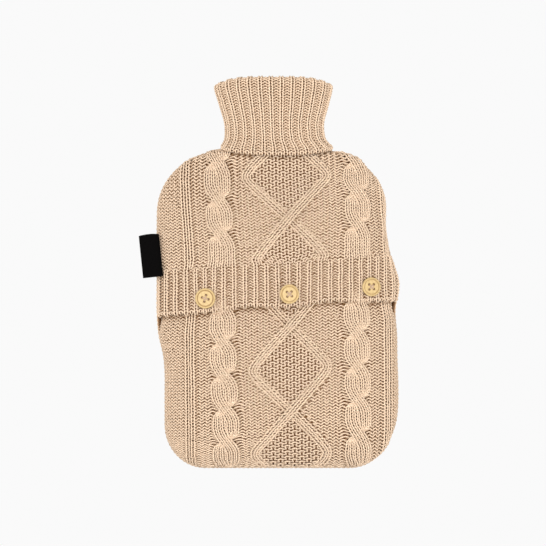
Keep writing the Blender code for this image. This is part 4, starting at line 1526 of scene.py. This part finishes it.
def drill(button, seat):
    """Cuts the four holes into a button."""
    cutter = hole_cutter(seat)
    holes = button.modifiers.new("holes", "BOOLEAN")
    holes.operation = "DIFFERENCE"
    holes.object = cutter
    bpy.context.view_layer.update()
    evaluated = button.evaluated_get(bpy.context.evaluated_depsgraph_get())
    data = bpy.data.meshes.new_from_object(evaluated)
    button.modifiers.clear()
    button.data = data
    bpy.data.objects.remove(cutter, do_unlink=True)


def thread_cross(name, seat, material):
    """Two stitches of two strands each that cross over the button's middle."""
    curve = bpy.data.curves.new(name, "CURVE")
    curve.dimensions = "3D"
    curve.bevel_depth = THREAD_RADIUS * MM
    curve.bevel_resolution = 2
    curve.use_fill_caps = True
    reach = HOLE_OFFSET * 2 ** 0.5 - 0.45
    top = BUTTON_THICKNESS - 0.6
    for k, rise in enumerate((0.0, 0.5)):
        turn = radians(45 + 90 * k)
        for aside, lift in ((-THREAD_ASIDE, 0.0), (THREAD_ASIDE, 0.05)):
            path = ((-reach, -1.6, 0.5), (-reach + 0.1, -0.35, 0.6), (-reach + 0.7, 0.1, 1.0),
                    (0.0, 0.22 + rise, 1.0), (reach - 0.7, 0.1, 1.0), (reach - 0.1, -0.35, 0.6),
                    (reach, -1.6, 0.5))
            spline = curve.splines.new("BEZIER")
            spline.bezier_points.add(len(path) - 1)
            for point, (out, high, spread) in zip(spline.bezier_points, path):
                side = aside * spread
                point.co = Vector((out * cos(turn) - side * sin(turn),
                                   out * sin(turn) + side * cos(turn),
                                   top + high + lift * spread)) * MM
                point.handle_left_type = point.handle_right_type = "AUTO"
    curve.materials.append(material)
    curve.resolution_u = 3
    made = placed(name, curve)
    made.matrix_world = seat
    return made


class COVER_OT_buttons(Operator):
    """Turns the three wooden buttons and sews them to the band"""

    bl_idname = "bottle_cover.buttons"
    bl_label = "Sew on the buttons"

    def execute(self, context):
        settings = context.scene.cover_fittings
        wood = wood_material(settings.wood, settings.grain)
        thread, _, _ = new_material("sewing_thread", Roughness=0.7, Sheen_Weight=0.2,
                                    Base_Color=(*settings.thread, 1.0))
        surface = body_surface(True)
        for name, x, y, radius, turn in BUTTONS:
            seat = button_seat(surface, x, y) @ Matrix.Rotation(radians(turn), 4, "Z")
            button = turned_button("wooden_button_" + name, radius, seat, wood)
            drill(button, seat)
            stitches = thread_cross("button_stitches_" + name, seat, thread)
            stands_for(button, "wood", "button_" + name)
            stands_for(stitches, "thread", "thread_" + name)
        return {"FINISHED"}


def ribbon_rows():
    """Rows of points along the ribbon: out over the upper layer, round its fold and back."""
    fold = LABEL_LAYER + LABEL_LAYER_GAP / 2
    reach = LABEL_WIDTH - fold
    path = [(0.0, fold), (-reach / 3, fold), (-reach * 2 / 3, fold)]
    path += [(-reach - fold * sin(turn), fold * cos(turn)) for turn in np.linspace(0, pi, 9)]
    path += [(-reach * 2 / 3, -fold), (-reach / 3, -fold), (0.0, -fold)]
    along = np.linspace(-LABEL_LENGTH / 2, LABEL_LENGTH / 2, 25)
    turn = radians(LABEL_TURN)
    rows = []
    for out, high in path:
        z = high + LABEL_DROOP * out / LABEL_WIDTH - LABEL_TILT * along
        wave = np.sin(along / LABEL_WAVE_LENGTH + LABEL_WAVE_START)
        z = z + LABEL_WAVE * wave * (-out / LABEL_WIDTH)
        across = out + LABEL_WIDTH / 2
        bowed = along + LABEL_BOW * (1 - (2 * across / LABEL_WIDTH) ** 2) * (along > 0)
        x = across * cos(turn) - bowed * sin(turn) + LABEL_CENTRE[0]
        y = across * sin(turn) + bowed * cos(turn) + LABEL_CENTRE[1]
        rows.append(np.stack([x, y, z + LABEL_ROOT_Z], axis=-1))
    return np.array(rows)


class COVER_OT_label(Operator):
    """Folds the black ribbon label and sets it in the side seam"""

    bl_idname = "bottle_cover.label"
    bl_label = "Set in the label"

    def execute(self, context):
        points = ribbon_rows()
        levels = np.arange(len(points), dtype=float)
        surface = Surface(points, levels)
        share, level = np.meshgrid(np.linspace(0.0, 1.0, 25), levels)
        place, normal = surface.read(share, level)
        places, quads = closed_sheet(place, normal, LABEL_LAYER)
        spread = np.stack([share * LABEL_LENGTH / WEAVE_THREAD, level * WEAVE_TURNS], axis=-1)
        spread = spread.reshape(-1, 2)
        weave = np.concatenate([spread, spread])[quads]
        material = ribbon_material(context.scene.cover_fittings.ribbon)
        label = mesh_object("ribbon_label", places, quads, material, {"Weave": weave})
        stands_for(label, "ribbon", "label_tab")
        return {"FINISHED"}


def set_floor(shade):
    """A plain pale floor that is evenly bright."""
    bpy.ops.mesh.primitive_plane_add(size=6.0, location=(0.0, 0.0, -0.0005))
    floor = bpy.context.object
    floor.name = "floor"
    pale = bpy.data.materials.new("pale_floor")
    pale.use_nodes = True
    tree = pale.node_tree
    tree.nodes.clear()
    glow = new_node(tree, "Emission", Color=(shade, shade, shade, 1.0))
    new_node(tree, "OutputMaterial", Surface=glow.outputs[0])
    floor.data.materials.append(pale)


def set_lights(scene, key, sky):
    """Even light from all round, a large lamp overhead and three weak ones at the sides."""
    world = bpy.data.worlds.new("studio")
    world.use_nodes = True
    fill(world.node_tree, world.node_tree.nodes["Background"], Color=(1, 1, 1, 1), Strength=sky)
    scene.world = world
    for name, place, size, share in LIGHTS:
        light = bpy.data.lights.new(name, "AREA")
        light.size = size
        light.energy = key * share
        lamp = placed(name, light)
        lamp.location = place
        lamp.rotation_euler = (-Vector(place)).to_track_quat("-Z", "Y").to_euler()


def set_camera(scene, height, view_width):
    """The camera straight above; view_width is what it sees at the seam's height."""
    camera = bpy.data.cameras.new("camera")
    camera.sensor_width = 36.0
    camera.lens = camera.sensor_width * (height - SEAM_Z * MM) / view_width
    stand = placed("camera", camera)
    stand.location = (CAMERA_AIM[0] * MM, CAMERA_AIM[1] * MM, height)
    scene.camera = stand


class COVER_OT_stage(Operator):
    """Sets the pale floor, the soft lights and the camera straight above"""

    bl_idname = "bottle_cover.stage"
    bl_label = "Set the stage"

    def execute(self, context):
        settings = context.scene.cover_stage
        context.scene.view_settings.view_transform = "Standard"
        set_floor(settings.floor_shade)
        set_lights(context.scene, settings.key, settings.sky)
        set_camera(context.scene, settings.camera_height, settings.view_width)
        return {"FINISHED"}


class COVER_PT_panel(Panel):
    """Lists the steps that make the cover"""

    bl_label = "Hot Water Bottle Cover"
    bl_idname = "COVER_PT_panel"
    bl_space_type = "VIEW_3D"
    bl_region_type = "UI"
    bl_category = "Bottle Cover"

    def draw(self, context):
        scene = context.scene
        for settings in (scene.cover_yarn, scene.cover_fittings, scene.cover_stage):
            column = self.layout.column()
            for key in settings.bl_rna.properties.keys():
                if key not in ("rna_type", "name"):
                    column.prop(settings, key)
        for step in STEPS:
            self.layout.operator(step.bl_idname)


STEPS = (COVER_OT_back, COVER_OT_lower_front, COVER_OT_flap, COVER_OT_collar,
         COVER_OT_buttons, COVER_OT_label, COVER_OT_stage)
SETTINGS = (YarnSettings, FittingSettings, StageSettings)
CLASSES = (*SETTINGS, *STEPS, COVER_PT_panel)


def register():
    for made in CLASSES:
        bpy.utils.register_class(made)
    bpy.types.Scene.cover_yarn = PointerProperty(type=YarnSettings)
    bpy.types.Scene.cover_fittings = PointerProperty(type=FittingSettings)
    bpy.types.Scene.cover_stage = PointerProperty(type=StageSettings)


def unregister():
    del bpy.types.Scene.cover_stage
    del bpy.types.Scene.cover_fittings
    del bpy.types.Scene.cover_yarn
    for made in reversed(CLASSES):
        bpy.utils.unregister_class(made)


def main():
    register()
    for step in STEPS:
        group, name = step.bl_idname.split(".")
        getattr(getattr(bpy.ops, group), name)()


if __name__ == "__main__":
    main()
